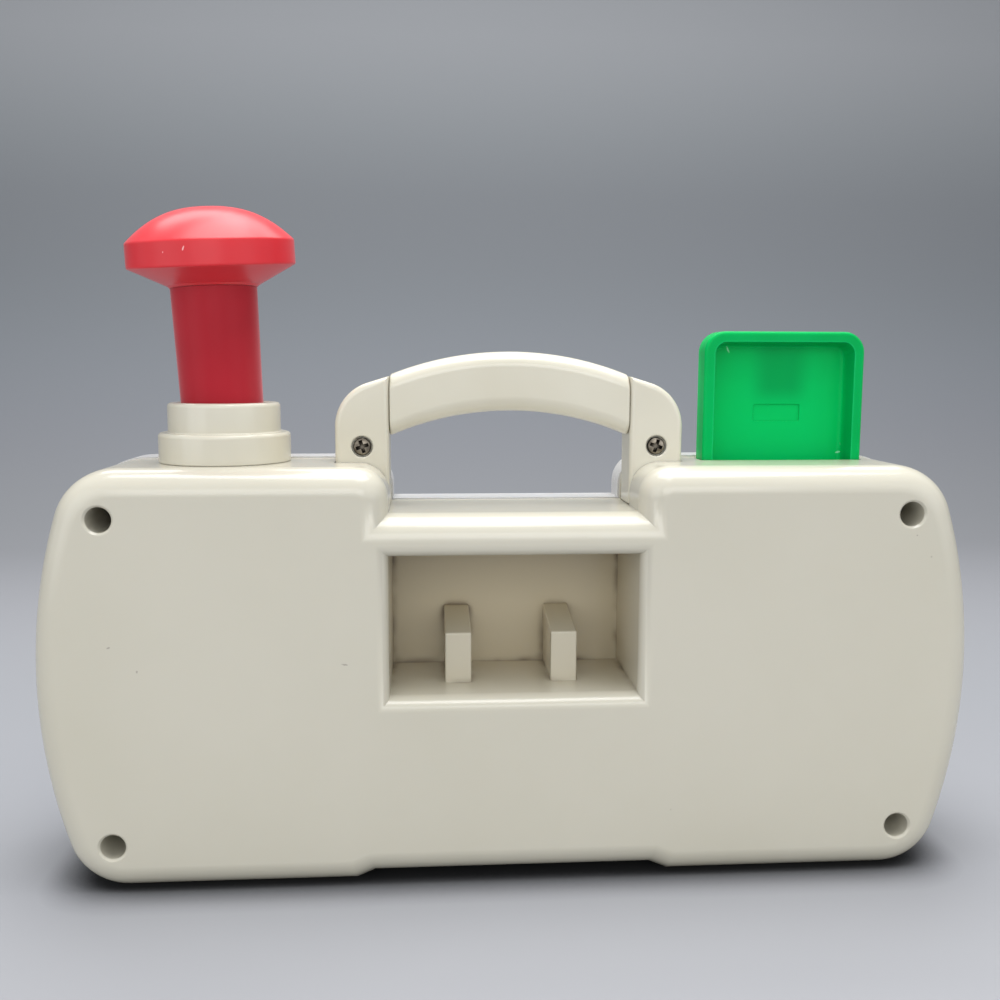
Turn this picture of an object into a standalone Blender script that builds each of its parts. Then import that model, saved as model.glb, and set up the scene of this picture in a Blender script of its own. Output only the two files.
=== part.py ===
"""Toy boom box for a baby's crib, as an assembly of separate parts at real size.

The play face looks along -Y and the strap pocket along +Y. The origin is on the table, under the
middle of the toy with its dial. Depths into the box are called insets and run from the back face
to the front. What stands side by side across the box keeps its share of the half width.
"""

import math

import bmesh
import bpy
from mathutils import Matrix, Vector

MM = 0.001

# Fits and allowances
CLEARANCE = 0.3 * MM
RUNNING = 0.12 * MM
OVERRUN = 4 * MM
WELD = 0.002 * MM

# Housing
HALF_WIDTH = 139.5 * MM
HEIGHT = 125 * MM
DEPTH = 58 * MM
SEAM_INSET = 39 * MM
WALL = 2.5 * MM
SIDE_RADIUS = 166 * MM
CORNER_RADIUS = 18.5 * MM
RIM_RADIUS = 8 * MM
LIP = 0.4 * MM
NOTCH_SHARE = 0.2652
NOTCH_DEPTH = 13.6 * MM
BLOCK_CORNER_RADIUS = 9 * MM
ARCH_BEYOND_NOTCH = 4.6 * MM
ARCH_SLOPE_WIDTH = 5.4 * MM
ARCH_RISE = 2.3 * MM
FACE_INSET = DEPTH
NOTCH_HALF_WIDTH = NOTCH_SHARE * HALF_WIDTH
ARCH_HALF_WIDTH = NOTCH_HALF_WIDTH + ARCH_BEYOND_NOTCH
NOTCH_FLOOR = HEIGHT - NOTCH_DEPTH
CEILING = HEIGHT - WALL
MID_INSET = DEPTH / 2

# Strap pocket in the back
POCKET_FLOOR = 57.2 * MM
POCKET_BELOW_NOTCH = 12.1 * MM
POCKET_DEPTH = 39.6 * MM
POCKET_MOUTH_RADIUS = 3.3 * MM
LEAD_IN_DEPTH = 16 * MM
LEAD_IN_DROP = 4 * MM
STRAP_RIB_X = 12.3 * MM
STRAP_RIB_THICKNESS = 8.1 * MM
STRAP_RIB_HEIGHT = 15.6 * MM
STRAP_RIB_RISE = 3.7 * MM
POCKET_HALF_WIDTH = NOTCH_HALF_WIDTH
POCKET_TOP = NOTCH_FLOOR - POCKET_BELOW_NOTCH
RIB_TOP_BACK = POCKET_FLOOR + STRAP_RIB_HEIGHT + STRAP_RIB_RISE

# Case screws and their bosses
SCREW_SHARE = 0.8459
SCREW_FROM_TOP = 14.1 * MM
RECESS_RADIUS = 3.7 * MM
RECESS_DEPTH = 26 * MM
BOSS_RADIUS = 4.9 * MM
CASE_SCREW_HEAD_RADIUS = 3 * MM
CASE_SCREW_HEAD_HEIGHT = 2 * MM
CASE_SCREW_SHANK_RADIUS = 1.5 * MM
CASE_SCREW_LENGTH = 22 * MM
SCREW_TIP = 2 * MM
SCREW_X = SCREW_SHARE * HALF_WIDTH
SCREW_Z_OFFSET = HEIGHT / 2 - SCREW_FROM_TOP

# Handle posts and the grip between them
POST_WIDTH = 16.4 * MM
POST_THICKNESS = 15.6 * MM
POST_RISE = 26.1 * MM
POST_SHOULDER_RADIUS = 14 * MM
POST_SHOULDER_RISE = 10.7 * MM
POST_SHOULDER_TURN = math.radians(72)
POST_EDGE_RADIUS = 1.6 * MM
SOCKET_WALL = 1.5 * MM
TONGUE_WIDTH = 8 * MM
TONGUE_THICKNESS = 7 * MM
TONGUE_RISE = 9.2 * MM
POST_SCREW_RISE = 4.8 * MM
POST_SCREW_HEAD_RADIUS = 2.9 * MM
POST_SCREW_HEAD_HEIGHT = 1.6 * MM
POST_SCREW_SHANK_RADIUS = 1.4 * MM
POST_SCREW_LENGTH = 9 * MM
POST_SCREW_SINK = 1.4 * MM
CROSS_WIDTH = 0.9 * MM
CROSS_DEPTH = 0.9 * MM
CROSS_LENGTH = 3.2 * MM
GRIP_GAP = 1 * MM
GRIP_THICKNESS = 15 * MM
GRIP_EDGE_RADIUS = 4.6 * MM
GRIP_RISE = 33.6 * MM
GRIP_HEIGHT = 18.1 * MM
GRIP_TOP_SAG = 7.1 * MM
GRIP_BOTTOM_SAG = 7.7 * MM
GRIP_AXIS_RISE = 17.7 * MM
GRIP_BOSS_RADIUS = 6.2 * MM
GRIP_BOSS_LENGTH = 5 * MM
POST_INNER_X = NOTCH_HALF_WIDTH
POST_TOP_INNER = HEIGHT + POST_RISE
POST_SHOULDER_Z = HEIGHT + POST_SHOULDER_RISE
TONGUE_TOP = HEIGHT + TONGUE_RISE
POST_SCREW_Z = HEIGHT + POST_SCREW_RISE
GRIP_TOP = HEIGHT + GRIP_RISE
GRIP_BOTTOM = GRIP_TOP - GRIP_HEIGHT
GRIP_AXIS_Z = HEIGHT + GRIP_AXIS_RISE
POST_OUTER_X = POST_INNER_X + POST_WIDTH
POST_INSET = MID_INSET - POST_THICKNESS / 2
TONGUE_X = POST_INNER_X + POST_WIDTH / 2
TONGUE_INSET = MID_INSET - TONGUE_THICKNESS / 2
GRIP_HALF_LENGTH = POST_INNER_X - GRIP_GAP

# Plunger, its collar and the squeaker below it
PLUNGER_SHARE = 0.6265
PLUNGER_LEAN = math.radians(2.5)
LEAN_POINT_RISE = 5.5 * MM
COLLAR_LOWER_RADIUS = 19.75 * MM
COLLAR_UPPER_RADIUS = 16.8 * MM
COLLAR_STEP_HEIGHT = 9 * MM
COLLAR_BORE_RADIUS = 13.4 * MM
COLLAR_EDGE_RADIUS = 1.2 * MM
COLLAR_SPIGOT_RADIUS = 15.6 * MM
COLLAR_FLANGE_RADIUS = 18.5 * MM
COLLAR_FLANGE_HEIGHT = 3 * MM
STEM_RADIUS = 12.3 * MM
STEM_WALL = 2.5 * MM
STEM_VISIBLE = 34 * MM
KNOB_RADIUS = 24.7 * MM
KNOB_UNDER_HEIGHT = 7.4 * MM
KNOB_BAND_HEIGHT = 6.3 * MM
KNOB_DOME_HEIGHT = 10.3 * MM
KNOB_EDGE = 0.7 * MM
KNOB_WALL = 2.4 * MM
KNOB_SPIGOT_LENGTH = 9 * MM
RETAINER_RADIUS = 16.2 * MM
RETAINER_THICKNESS = 3 * MM
RETAINER_DROP = 1 * MM
RETAINER_PLUG_LENGTH = 8 * MM
BELLOWS_RADIUS = 14 * MM
BELLOWS_FOLD = 3.2 * MM
BELLOWS_WALL = 1.4 * MM
BELLOWS_FOLDS = 7
BELLOWS_END_HEIGHT = 3 * MM
WHISTLE_RADIUS = 12.5 * MM
WHISTLE_HEIGHT = 18 * MM
WHISTLE_PLUG_RADIUS = 7 * MM
WHISTLE_PLUG_HEIGHT = 6 * MM
WHISTLE_BORE_RADIUS = 3 * MM
WHISTLE_SLOT_WIDTH = 5 * MM
WHISTLE_SLOT_HEIGHT = 8 * MM
PLUNGER_X = PLUNGER_SHARE * HALF_WIDTH
LEAN_POINT_Z = HEIGHT + LEAN_POINT_RISE
COLLAR_BASE = HEIGHT + CLEARANCE
COLLAR_TOP = COLLAR_BASE + 2 * COLLAR_STEP_HEIGHT
COLLAR_FLANGE_TOP = CEILING - CLEARANCE
COLLAR_FOOT = COLLAR_FLANGE_TOP - COLLAR_FLANGE_HEIGHT
STEM_TOP = COLLAR_TOP + STEM_VISIBLE
STEM_BOTTOM = COLLAR_FOOT - RETAINER_DROP + CLEARANCE
RETAINER_TOP = STEM_BOTTOM - CLEARANCE

# Pop-up card, its guide and its rack
CARD_SHARE = 0.6186
CARD_WIDTH_SHARE = 0.1828
CARD_INSET = 25 * MM
CARD_THICKNESS = 9 * MM
CARD_RISE = 40.1 * MM
CARD_HIDDEN = 41 * MM
CARD_RIM = 2.6 * MM
CARD_WEB = 2 * MM
CARD_CORNER_RADIUS = 6.5 * MM
CARD_EDGE_RADIUS = 0.6 * MM
CARD_MARK_WIDTH = 15.1 * MM
CARD_MARK_HEIGHT = 5.4 * MM
CARD_MARK_RISE = 14.6 * MM
CARD_MARK_SINK = 0.5 * MM
CARD_STOP_WIDTH = 10 * MM
CARD_STOP_DEPTH = 3 * MM
CARD_STOP_X = 11 * MM
GUIDE_WALL = 2 * MM
GUIDE_GRIP = 3 * MM
GUIDE_DROP = 40 * MM
GUIDE_BELOW_TOP = 20.7 * MM
GUIDE_BAR_HEIGHT = 8 * MM
CARD_SLOT_PLAY = 0.4 * MM
CARD_X = -CARD_SHARE * HALF_WIDTH
CARD_HALF_WIDTH = CARD_WIDTH_SHARE * HALF_WIDTH
CARD_TOP = HEIGHT + CARD_RISE
CARD_BOTTOM = HEIGHT - CARD_HIDDEN
CARD_MARK_Z = HEIGHT + CARD_MARK_RISE
GUIDE_BOTTOM = CARD_BOTTOM - GUIDE_DROP
GUIDE_TOP = HEIGHT - GUIDE_BELOW_TOP
CARD_BACK_INSET = CARD_INSET + CARD_THICKNESS

# Rack and pinion, and the dial that turns it
TOOTH_MODULE = 2 * MM
PINION_TEETH = 12
PRESSURE_ANGLE = math.radians(25)
ADDENDUM_SHARE = 0.8
DEDENDUM_SHARE = 1.1
BACKLASH = 0.4 * MM
FLANK_STEPS = 3
GEAR_THICKNESS = 5.5 * MM
RACK_TEETH = 9
RACK_ROOM = 3.3 * MM
GEAR_GAP = 1 * MM
DIAL_DROP = 6.5 * MM
SHAFT_RADIUS = 4.5 * MM
SHAFT_COLLAR_RADIUS = 7 * MM
SHAFT_COLLAR_LENGTH = 2 * MM
SHAFT_BOSS_RADIUS = 8 * MM
SHAFT_BOSS_INSET = 46.3 * MM
DIAL_RADIUS = 37 * MM
DIAL_BASE = 3 * MM
DIAL_RIM_HEIGHT = 4.5 * MM
DIAL_RIM_WIDTH = 5 * MM
DIAL_HUB_RADIUS = 11 * MM
DIAL_HUB_HEIGHT = 6 * MM
DIAL_EDGE_RADIUS = 1.5 * MM
DIAL_HOLES = 6
DIAL_HOLE_RADIUS = 6 * MM
DIAL_HOLE_RING = 21.5 * MM
DIAL_SCALLOPS = 20
DIAL_SCALLOP_RADIUS = 2.6 * MM
DIAL_CAP_RADIUS = 8 * MM
DIAL_CAP_HEIGHT = 2.5 * MM
DIAL_CAP_SINK = 2 * MM
FINGER_THICKNESS = 0.9 * MM
FINGER_WIDTH = 3.5 * MM
FINGER_LENGTH = 26 * MM
FINGER_ROOT = 4 * MM
DIAL_PROUD = 2 * CLEARANCE + DIAL_BASE + DIAL_HUB_HEIGHT + DIAL_CAP_HEIGHT - DIAL_CAP_SINK
ORIGIN_INSET = (DEPTH + DIAL_PROUD) / 2
MID_Y = ORIGIN_INSET - MID_INSET
PITCH_RADIUS = PINION_TEETH * TOOTH_MODULE / 2
TIP_RADIUS = PITCH_RADIUS + ADDENDUM_SHARE * TOOTH_MODULE
ROOT_RADIUS = PITCH_RADIUS - DEDENDUM_SHARE * TOOTH_MODULE
TOOTH_PITCH = math.pi * TOOTH_MODULE
DIAL_Z = HEIGHT / 2 - DIAL_DROP
GEAR_INSET = CARD_BACK_INSET + GEAR_GAP
RACK_LINE_X = CARD_X + PITCH_RADIUS
RACK_ROOT_X = RACK_LINE_X + DEDENDUM_SHARE * TOOTH_MODULE
RACK_BACK_X = CARD_X + CARD_HALF_WIDTH - GUIDE_GRIP - RACK_ROOM

# Speaker grille on the play face
GRILLE_X = PLUNGER_X
GRILLE_Z = DIAL_Z
GRILLE_RADIUS = DIAL_RADIUS
GRILLE_RIM_WIDTH = 5 * MM
GRILLE_RIM_HEIGHT = 4 * MM
GRILLE_PLATE = 2 * MM
GRILLE_DOME = 1.6 * MM
GRILLE_SPIGOT_RADIUS = 30 * MM
GRILLE_SPIGOT_LENGTH = 1.5 * MM
GRILLE_HOLE_RADIUS = 3.6 * MM
GRILLE_RING_STEP = 11.6 * MM
GRILLE_RINGS = 2

# Pretend cassette on the play face
WELL_SHARE = 0.2437
WELL_HEIGHT = 40 * MM
WELL_RAISE = 0.3 * MM
WELL_DEPTH = 6 * MM
WELL_CORNER_RADIUS = 4 * MM
WINDOW_THICKNESS = 2 * MM
WINDOW_SINK = 0.6 * MM
WINDOW_HOLE_RADIUS = 7.4 * MM
REEL_SHARE = 0.1111
REEL_RADIUS = 11.5 * MM
REEL_DISC = 1.8 * MM
REEL_HUB_RADIUS = 6.8 * MM
REEL_HUB_PROUD = 1.4 * MM
REEL_LOBES = 6
REEL_LOBE_WIDTH = 1.6 * MM
REEL_LOBE_DEPTH = 1.8 * MM
SPINDLE_RADIUS = 2.5 * MM
WELL_HALF_WIDTH = WELL_SHARE * HALF_WIDTH
WELL_FLOOR_INSET = FACE_INSET - WELL_DEPTH
REEL_X = REEL_SHARE * HALF_WIDTH

# Piano keys on the play face
KEY_NAMES = ("key_left", "key_middle", "key_right")
KEY_SHARE = 0.1649
KEY_GAP = 1.5 * MM
KEY_BOTTOM = 22 * MM
KEY_TOP = 38 * MM
KEY_PROUD = 6 * MM
KEY_CAP_DEPTH = 12 * MM
KEY_CORNER_RADIUS = 2.5 * MM
KEY_EDGE_RADIUS = 0.8 * MM
KEY_ARM_THICKNESS = 3.2 * MM
KEY_ROD_INSET = 36 * MM
KEY_ROD_Z = 29 * MM
KEY_ROD_RADIUS = 1.5 * MM
KEY_HUB_RADIUS = 3.4 * MM
KEY_STROKE = math.radians(5.5)
KEY_DROP_ROOM = 4 * MM
EAR_THICKNESS = 2.5 * MM
EAR_HEIGHT = 10 * MM
SPRING_INSET = 45.5 * MM
SPRING_RADIUS = 3 * MM
SPRING_WIRE = 0.4 * MM
SPRING_CURLS = 5
SPRING_POINTS = 8
KEY_SPACING = KEY_SHARE * HALF_WIDTH
KEY_WIDTH = KEY_SPACING - KEY_GAP
KEY_ARM_BOTTOM = KEY_ROD_Z - KEY_ARM_THICKNESS / 2
KEY_OPENING_HALF = KEY_SPACING + KEY_WIDTH / 2 + 2 * CLEARANCE
REEL_Z = (KEY_TOP + NOTCH_FLOOR) / 2 + WELL_RAISE
WELL_BOTTOM = REEL_Z - WELL_HEIGHT / 2
WELL_TOP = REEL_Z + WELL_HEIGHT / 2

# Facets of round shapes
FINE_SIDES = 34
ROUND_SIDES = 26
SMALL_SIDES = 14
TINY_SIDES = 8
ARC_STEPS = 5

FINISHES = {
    "cream_shell": ((0.72, 0.69, 0.60), 0.32, 0.0),
    "white_shell": ((0.80, 0.79, 0.76), 0.32, 0.0),
    "cream_grip": ((0.74, 0.70, 0.60), 0.30, 0.0),
    "red_knob": ((0.64, 0.07, 0.08), 0.28, 0.0),
    "red_stem": ((0.38, 0.03, 0.05), 0.34, 0.0),
    "green_card": ((0.01, 0.42, 0.12), 0.33, 0.0),
    "yellow_dial": ((0.85, 0.55, 0.05), 0.32, 0.0),
    "blue_grille": ((0.05, 0.17, 0.55), 0.32, 0.0),
    "orange_reel": ((0.85, 0.22, 0.04), 0.32, 0.0),
    "smoke_window": ((0.35, 0.42, 0.48), 0.12, 0.0),
    "screw_steel": ((0.42, 0.40, 0.37), 0.35, 1.0),
    "rod_steel": ((0.60, 0.60, 0.60), 0.25, 1.0),
    "rubber": ((0.10, 0.10, 0.10), 0.70, 0.0),
    "white_inner": ((0.75, 0.75, 0.72), 0.45, 0.0),
}


def clear_scene():
    for obj in list(bpy.data.objects):
        bpy.data.objects.remove(obj, do_unlink=True)


def collection(name):
    found = bpy.data.collections.get(name)
    if found is None:
        found = bpy.data.collections.new(name)
        bpy.context.scene.collection.children.link(found)
    return found


def finish_material(name):
    found = bpy.data.materials.get(name)
    if found is None:
        colour, roughness, metallic = FINISHES[name]
        found = bpy.data.materials.new(name)
        found.use_nodes = True
        shader = found.node_tree.nodes["Principled BSDF"]
        shader.inputs["Base Color"].default_value = (*colour, 1)
        shader.inputs["Roughness"].default_value = roughness
        shader.inputs["Metallic"].default_value = metallic
        found.diffuse_color = (*colour, 1)
    return found


def place(inset):
    """Y of a depth into the box, counted from the back face."""
    return ORIGIN_INSET - inset


def make_part(name, mesh, finish):
    obj = bpy.data.objects.new(name, mesh)
    mesh.materials.clear()
    mesh.materials.append(finish_material(finish))
    collection("toy_boom_box").objects.link(obj)
    return obj


def make_cutter(mesh):
    obj = bpy.data.objects.new(mesh.name, mesh)
    collection("cutters").objects.link(obj)
    obj.hide_render = True
    obj.display_type = "WIRE"
    return obj


def boolean(target, mesh, operation):
    other = mesh if isinstance(mesh, bpy.types.Object) else make_cutter(mesh)
    modifier = target.modifiers.new(operation.title() + " " + other.name, "BOOLEAN")
    modifier.operation = operation
    modifier.object = other
    modifier.solver = "EXACT"
    return other


def cut(target, *meshes):
    for mesh in meshes:
        boolean(target, mesh, "DIFFERENCE")


def join(target, *meshes):
    for mesh in meshes:
        boolean(target, mesh, "UNION")


def axis_empty(name, location):
    """An empty on a joint's axis, which carries the pieces that move together."""
    empty = bpy.data.objects.new(name, None)
    empty.empty_display_size = KNOB_RADIUS
    empty.location = location
    collection("toy_boom_box").objects.link(empty)
    bpy.context.view_layer.update()
    return empty


def attach(empty, *pieces):
    """Parents pieces to an empty and leaves them where they are, with the cutters that shape them."""
    held = empty.matrix_world.inverted()
    for piece in pieces:
        shaped_by = [m.object for m in piece.modifiers if m.type == "BOOLEAN"]
        for obj in [piece, *shaped_by]:
            obj.parent = empty
            obj.matrix_parent_inverse = held


def smooth(mesh, angle=math.radians(35)):
    mesh.shade_smooth()
    mesh.set_sharp_from_angle(angle=angle)


def finish_bmesh(bm, name):
    mesh = bpy.data.meshes.new(name)
    bm.to_mesh(mesh)
    bm.free()
    smooth(mesh)
    return mesh


def box(name, low, high):
    low, high = Vector(low), Vector(high)
    bm = bmesh.new()
    bmesh.ops.create_cube(bm, size=1)
    bmesh.ops.scale(bm, vec=high - low, verts=bm.verts)
    bmesh.ops.translate(bm, vec=(low + high) / 2, verts=bm.verts)
    return finish_bmesh(bm, name)


def block(name, x_range, inset_range, z_range):
    """A box given by its ranges along X, into the back of the case, and up."""
    low = (min(x_range), place(max(inset_range)), min(z_range))
    high = (max(x_range), place(min(inset_range)), max(z_range))
    return box(name, low, high)


def rod(name, radius, start, end, sides=ROUND_SIDES):
    start, end = Vector(start), Vector(end)
    along = end - start
    bm = bmesh.new()
    bmesh.ops.create_cone(
        bm, cap_ends=True, segments=sides, radius1=radius, radius2=radius, depth=along.length
    )
    turn = Vector((0, 0, 1)).rotation_difference(along.normalized()).to_matrix().to_4x4()
    bmesh.ops.transform(bm, matrix=Matrix.Translation((start + end) / 2) @ turn, verts=bm.verts)
    return finish_bmesh(bm, name)


def rod_inward(name, radius, x, z, insets, sides=ROUND_SIDES):
    """A cylinder that runs into the case from the back."""
    return rod(name, radius, (x, place(insets[0]), z), (x, place(insets[1]), z), sides)


def rod_up(name, radius, x, z_range, sides=ROUND_SIDES):
    return rod(name, radius, (x, MID_Y, z_range[0]), (x, MID_Y, z_range[1]), sides)


def arc(centre, radius, start, end, steps=ARC_STEPS):
    """Points along an arc, both ends included. The angles are in radians."""
    points = []
    for i in range(steps + 1):
        angle = start + (end - start) * i / steps
        points.append((centre[0] + radius * math.cos(angle), centre[1] + radius * math.sin(angle)))
    return points


def rounded_rectangle(half_width, bottom, top, radius, centre_x=0):
    quarter = math.pi / 2
    corners = (
        (centre_x + half_width - radius, bottom + radius, -quarter),
        (centre_x + half_width - radius, top - radius, 0),
        (centre_x - half_width + radius, top - radius, quarter),
        (centre_x - half_width + radius, bottom + radius, 2 * quarter),
    )
    points = []
    for x, z, start in corners:
        points += arc((x, z), radius, start, start + quarter)
    return points


def extruded(name, outline, low, high, axis="Y"):
    """A flat outline given a thickness along an axis, from low to high."""
    curve = bpy.data.curves.new(name, "CURVE")
    curve.dimensions = "2D"
    curve.fill_mode = "BOTH"
    curve.extrude = abs(high - low) / 2
    spline = curve.splines.new("POLY")
    spline.points.add(len(outline) - 1)
    for point, (a, b) in zip(spline.points, outline):
        point.co = (a, b, 0, 1)
    spline.use_cyclic_u = True
    guide = bpy.data.objects.new(name, curve)
    bpy.context.scene.collection.objects.link(guide)
    graph = bpy.context.evaluated_depsgraph_get()
    mesh = bpy.data.meshes.new_from_object(guide.evaluated_get(graph))
    bpy.data.objects.remove(guide)
    bpy.data.curves.remove(curve)
    mesh.name = name
    if axis == "Y":
        turn = Matrix.Rotation(math.pi / 2, 4, "X")
        shift = Vector((0, (low + high) / 2, 0))
    else:
        turn = Matrix(((0, 0, 1, 0), (1, 0, 0, 0), (0, 1, 0, 0), (0, 0, 0, 1)))
        shift = Vector(((low + high) / 2, 0, 0))
    bm = bmesh.new()
    bm.from_mesh(mesh)
    bmesh.ops.remove_doubles(bm, verts=bm.verts, dist=WELD)
    bmesh.ops.transform(bm, matrix=Matrix.Translation(shift) @ turn, verts=bm.verts)
    bmesh.ops.dissolve_limit(
        bm, angle_limit=math.radians(0.5), verts=bm.verts, edges=bm.edges, delimit={"NORMAL"}
    )
    bmesh.ops.recalc_face_normals(bm, faces=bm.faces)
    bm.to_mesh(mesh)
    bm.free()
    smooth(mesh)
    return mesh


def round_edges(mesh, radius, segments, chosen):
    """Rounds the edges of a mesh for which chosen(start, end) holds."""
    bm = bmesh.new()
    bm.from_mesh(mesh)
    edges = [edge for edge in bm.edges if chosen(*(v.co for v in edge.verts))]
    bmesh.ops.bevel(
        bm,
        geom=edges,
        offset=radius,
        offset_type="OFFSET",
        segments=segments,
        profile=0.5,
        affect="EDGES",
        clamp_overlap=False,
    )
    bmesh.ops.remove_doubles(bm, verts=bm.verts, dist=WELD)
    bm.to_mesh(mesh)
    bm.free()
    smooth(mesh)
    return mesh


def round_faces(mesh, radius, segments, *levels, axis=1):
    """Rounds the edges of a mesh that lie in the planes at the given levels along an axis."""

    def in_plane(start, end):
        return any(
            abs(start[axis] - level) < WELD and abs(end[axis] - level) < WELD for level in levels
        )

    return round_edges(mesh, radius, segments, in_plane)


def turned(name, profile, origin, finish=None, sides=FINE_SIDES, closed=False, forward=False):
    """A profile of (radius, height) points spun round an axis: upright, or towards the front."""
    mesh = bpy.data.meshes.new(name)
    points = [(radius, 0, height) for radius, height in profile]
    edges = [(i, i + 1) for i in range(len(points) - 1)]
    if closed:
        edges.append((len(points) - 1, 0))
    mesh.from_pydata(points, edges, [])
    obj = make_part(name, mesh, finish) if finish else make_cutter(mesh)
    obj.location = origin
    if forward:
        obj.rotation_euler = (math.pi / 2, 0, 0)
    screw = obj.modifiers.new("Screw", "SCREW")
    screw.axis = "Z"
    screw.steps = screw.render_steps = sides
    screw.use_merge_vertices = True
    screw.merge_threshold = WELD
    screw.use_smooth_shade = True
    return obj


def lofted(name, sections):
    """A solid through closed sections of equal point count, capped at both ends."""
    bm = bmesh.new()
    loops = []
    for section in sections:
        verts = [bm.verts.new(point) for point in section]
        loops.append([bm.edges.new((verts[i - 1], verts[i])) for i in range(len(verts))])
        if section in (sections[0], sections[-1]):
            bm.faces.new(verts)
    for first, second in zip(loops, loops[1:]):
        bmesh.ops.bridge_loops(bm, edges=first + second)
    bmesh.ops.recalc_face_normals(bm, faces=bm.faces)
    return finish_bmesh(bm, name)


def housing_outline(grow=0, base=0):
    """The case seen from the play face, grown or shrunk all round, with its feet at base."""
    middle = HEIGHT / 2
    side_x = HALF_WIDTH - SIDE_RADIUS
    corner_rise = middle - CORNER_RADIUS
    corner_run = math.sqrt((SIDE_RADIUS - CORNER_RADIUS) ** 2 - corner_rise**2)
    corner_x = side_x + corner_run
    turn = math.atan2(corner_rise, corner_run)
    block_centre = (NOTCH_HALF_WIDTH + BLOCK_CORNER_RADIUS, HEIGHT - BLOCK_CORNER_RADIUS)
    quarter = math.pi / 2
    corner, block_corner = CORNER_RADIUS + grow, BLOCK_CORNER_RADIUS + grow
    right = [(ARCH_HALF_WIDTH, base + ARCH_RISE), (ARCH_HALF_WIDTH + ARCH_SLOPE_WIDTH, base)]
    right += arc((corner_x, middle - corner_rise), corner, -quarter, -turn)
    right += arc((side_x, middle), SIDE_RADIUS + grow, -turn, turn, 8)[1:-1]
    right += arc((corner_x, middle + corner_rise), corner, turn, quarter)
    right += arc(block_centre, block_corner, quarter, 2 * quarter)
    right.append((NOTCH_HALF_WIDTH - grow, NOTCH_FLOOR + grow))
    right = [(x, max(z, base)) for x, z in right]
    return right + [(-x, z) for x, z in reversed(right)]


def case_screw_places():
    middle = HEIGHT / 2
    return [(x, middle + z) for x in (-SCREW_X, SCREW_X) for z in (-SCREW_Z_OFFSET, SCREW_Z_OFFSET)]


def pocket_mouth(name):
    """The strap pocket's flared mouth: rounded at the top and sides, and a long lead-in below."""
    side_stops = [POCKET_MOUTH_RADIUS * i / 4 for i in range(5)]
    floor_stops = [LEAD_IN_DEPTH * i / 8 for i in range(3, 9)]
    sections = []
    for inset in [-OVERRUN, *side_stops, *floor_stops]:
        depth = max(inset, 0)
        left = max(POCKET_MOUTH_RADIUS - depth, 0)
        flare = POCKET_MOUTH_RADIUS - math.sqrt(POCKET_MOUTH_RADIUS**2 - left**2)
        drop_turn = 1 - depth / LEAD_IN_DEPTH
        drop = LEAD_IN_DROP * (1 - math.sqrt(1 - drop_turn**2))
        x, y = POCKET_HALF_WIDTH + flare, place(inset)
        low, high = POCKET_FLOOR - drop, POCKET_TOP + flare
        sections.append([(-x, y, low), (x, y, low), (x, y, high), (-x, y, high)])
    return lofted(name, sections)


def strap_rib(name, side):
    front = LEAD_IN_DEPTH
    outline = [
        (place(front), POCKET_FLOOR - OVERRUN),
        (place(front), POCKET_FLOOR + STRAP_RIB_HEIGHT),
        (place(POCKET_DEPTH), RIB_TOP_BACK),
        (place(POCKET_DEPTH + OVERRUN), RIB_TOP_BACK),
        (place(POCKET_DEPTH + OVERRUN), POCKET_FLOOR - OVERRUN),
    ]
    edges = sorted((side * STRAP_RIB_X, side * (STRAP_RIB_X + STRAP_RIB_THICKNESS)))
    return extruded(name, outline, edges[0], edges[1], axis="X")


def back_cavity():
    """The hollow of the back case, less the walls and bosses that stand in it."""
    beyond = SEAM_INSET + OVERRUN
    outline = housing_outline(-WALL, WALL)
    hollow = extruded("back_hollow", outline, place(beyond), place(WALL))
    round_faces(hollow, RIM_RADIUS - WALL, 3, place(WALL))
    cavity = make_cutter(hollow)
    reach = (0, beyond + OVERRUN)
    tray_x = POCKET_HALF_WIDTH + WALL
    tray_z = (POCKET_FLOOR - WALL, POCKET_TOP + WALL)
    cut(cavity, block("tray_walls", (-tray_x, tray_x), reach, tray_z))
    for i, (x, z) in enumerate(case_screw_places()):
        cut(cavity, rod_inward(f"back_boss_{i}", BOSS_RADIUS, x, z, reach, SMALL_SIDES))
    socket_x = (NOTCH_HALF_WIDTH - OVERRUN, POST_OUTER_X + CLEARANCE + SOCKET_WALL)
    socket_insets = (POST_INSET - CLEARANCE - SOCKET_WALL, beyond + OVERRUN)
    socket_z = (NOTCH_FLOOR - WALL, HEIGHT + OVERRUN)
    for side in (-1, 1):
        xs = [side * x for x in socket_x]
        cut(cavity, block(f"socket_block_{side}", xs, socket_insets, socket_z))
    return cavity


def post_socket(side):
    xs = [side * x for x in (POST_INNER_X - OVERRUN, POST_OUTER_X + CLEARANCE)]
    insets = (POST_INSET - CLEARANCE, POST_INSET + POST_THICKNESS + CLEARANCE)
    return block(f"post_socket_{side}", xs, insets, (NOTCH_FLOOR, HEIGHT + OVERRUN))


def post_tongue(side):
    xs = [side * (TONGUE_X + half * TONGUE_WIDTH / 2) for half in (-1, 1)]
    insets = (TONGUE_INSET, TONGUE_INSET + TONGUE_THICKNESS)
    return block(f"post_tongue_{side}", xs, insets, (NOTCH_FLOOR - WALL / 2, TONGUE_TOP))


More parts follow.
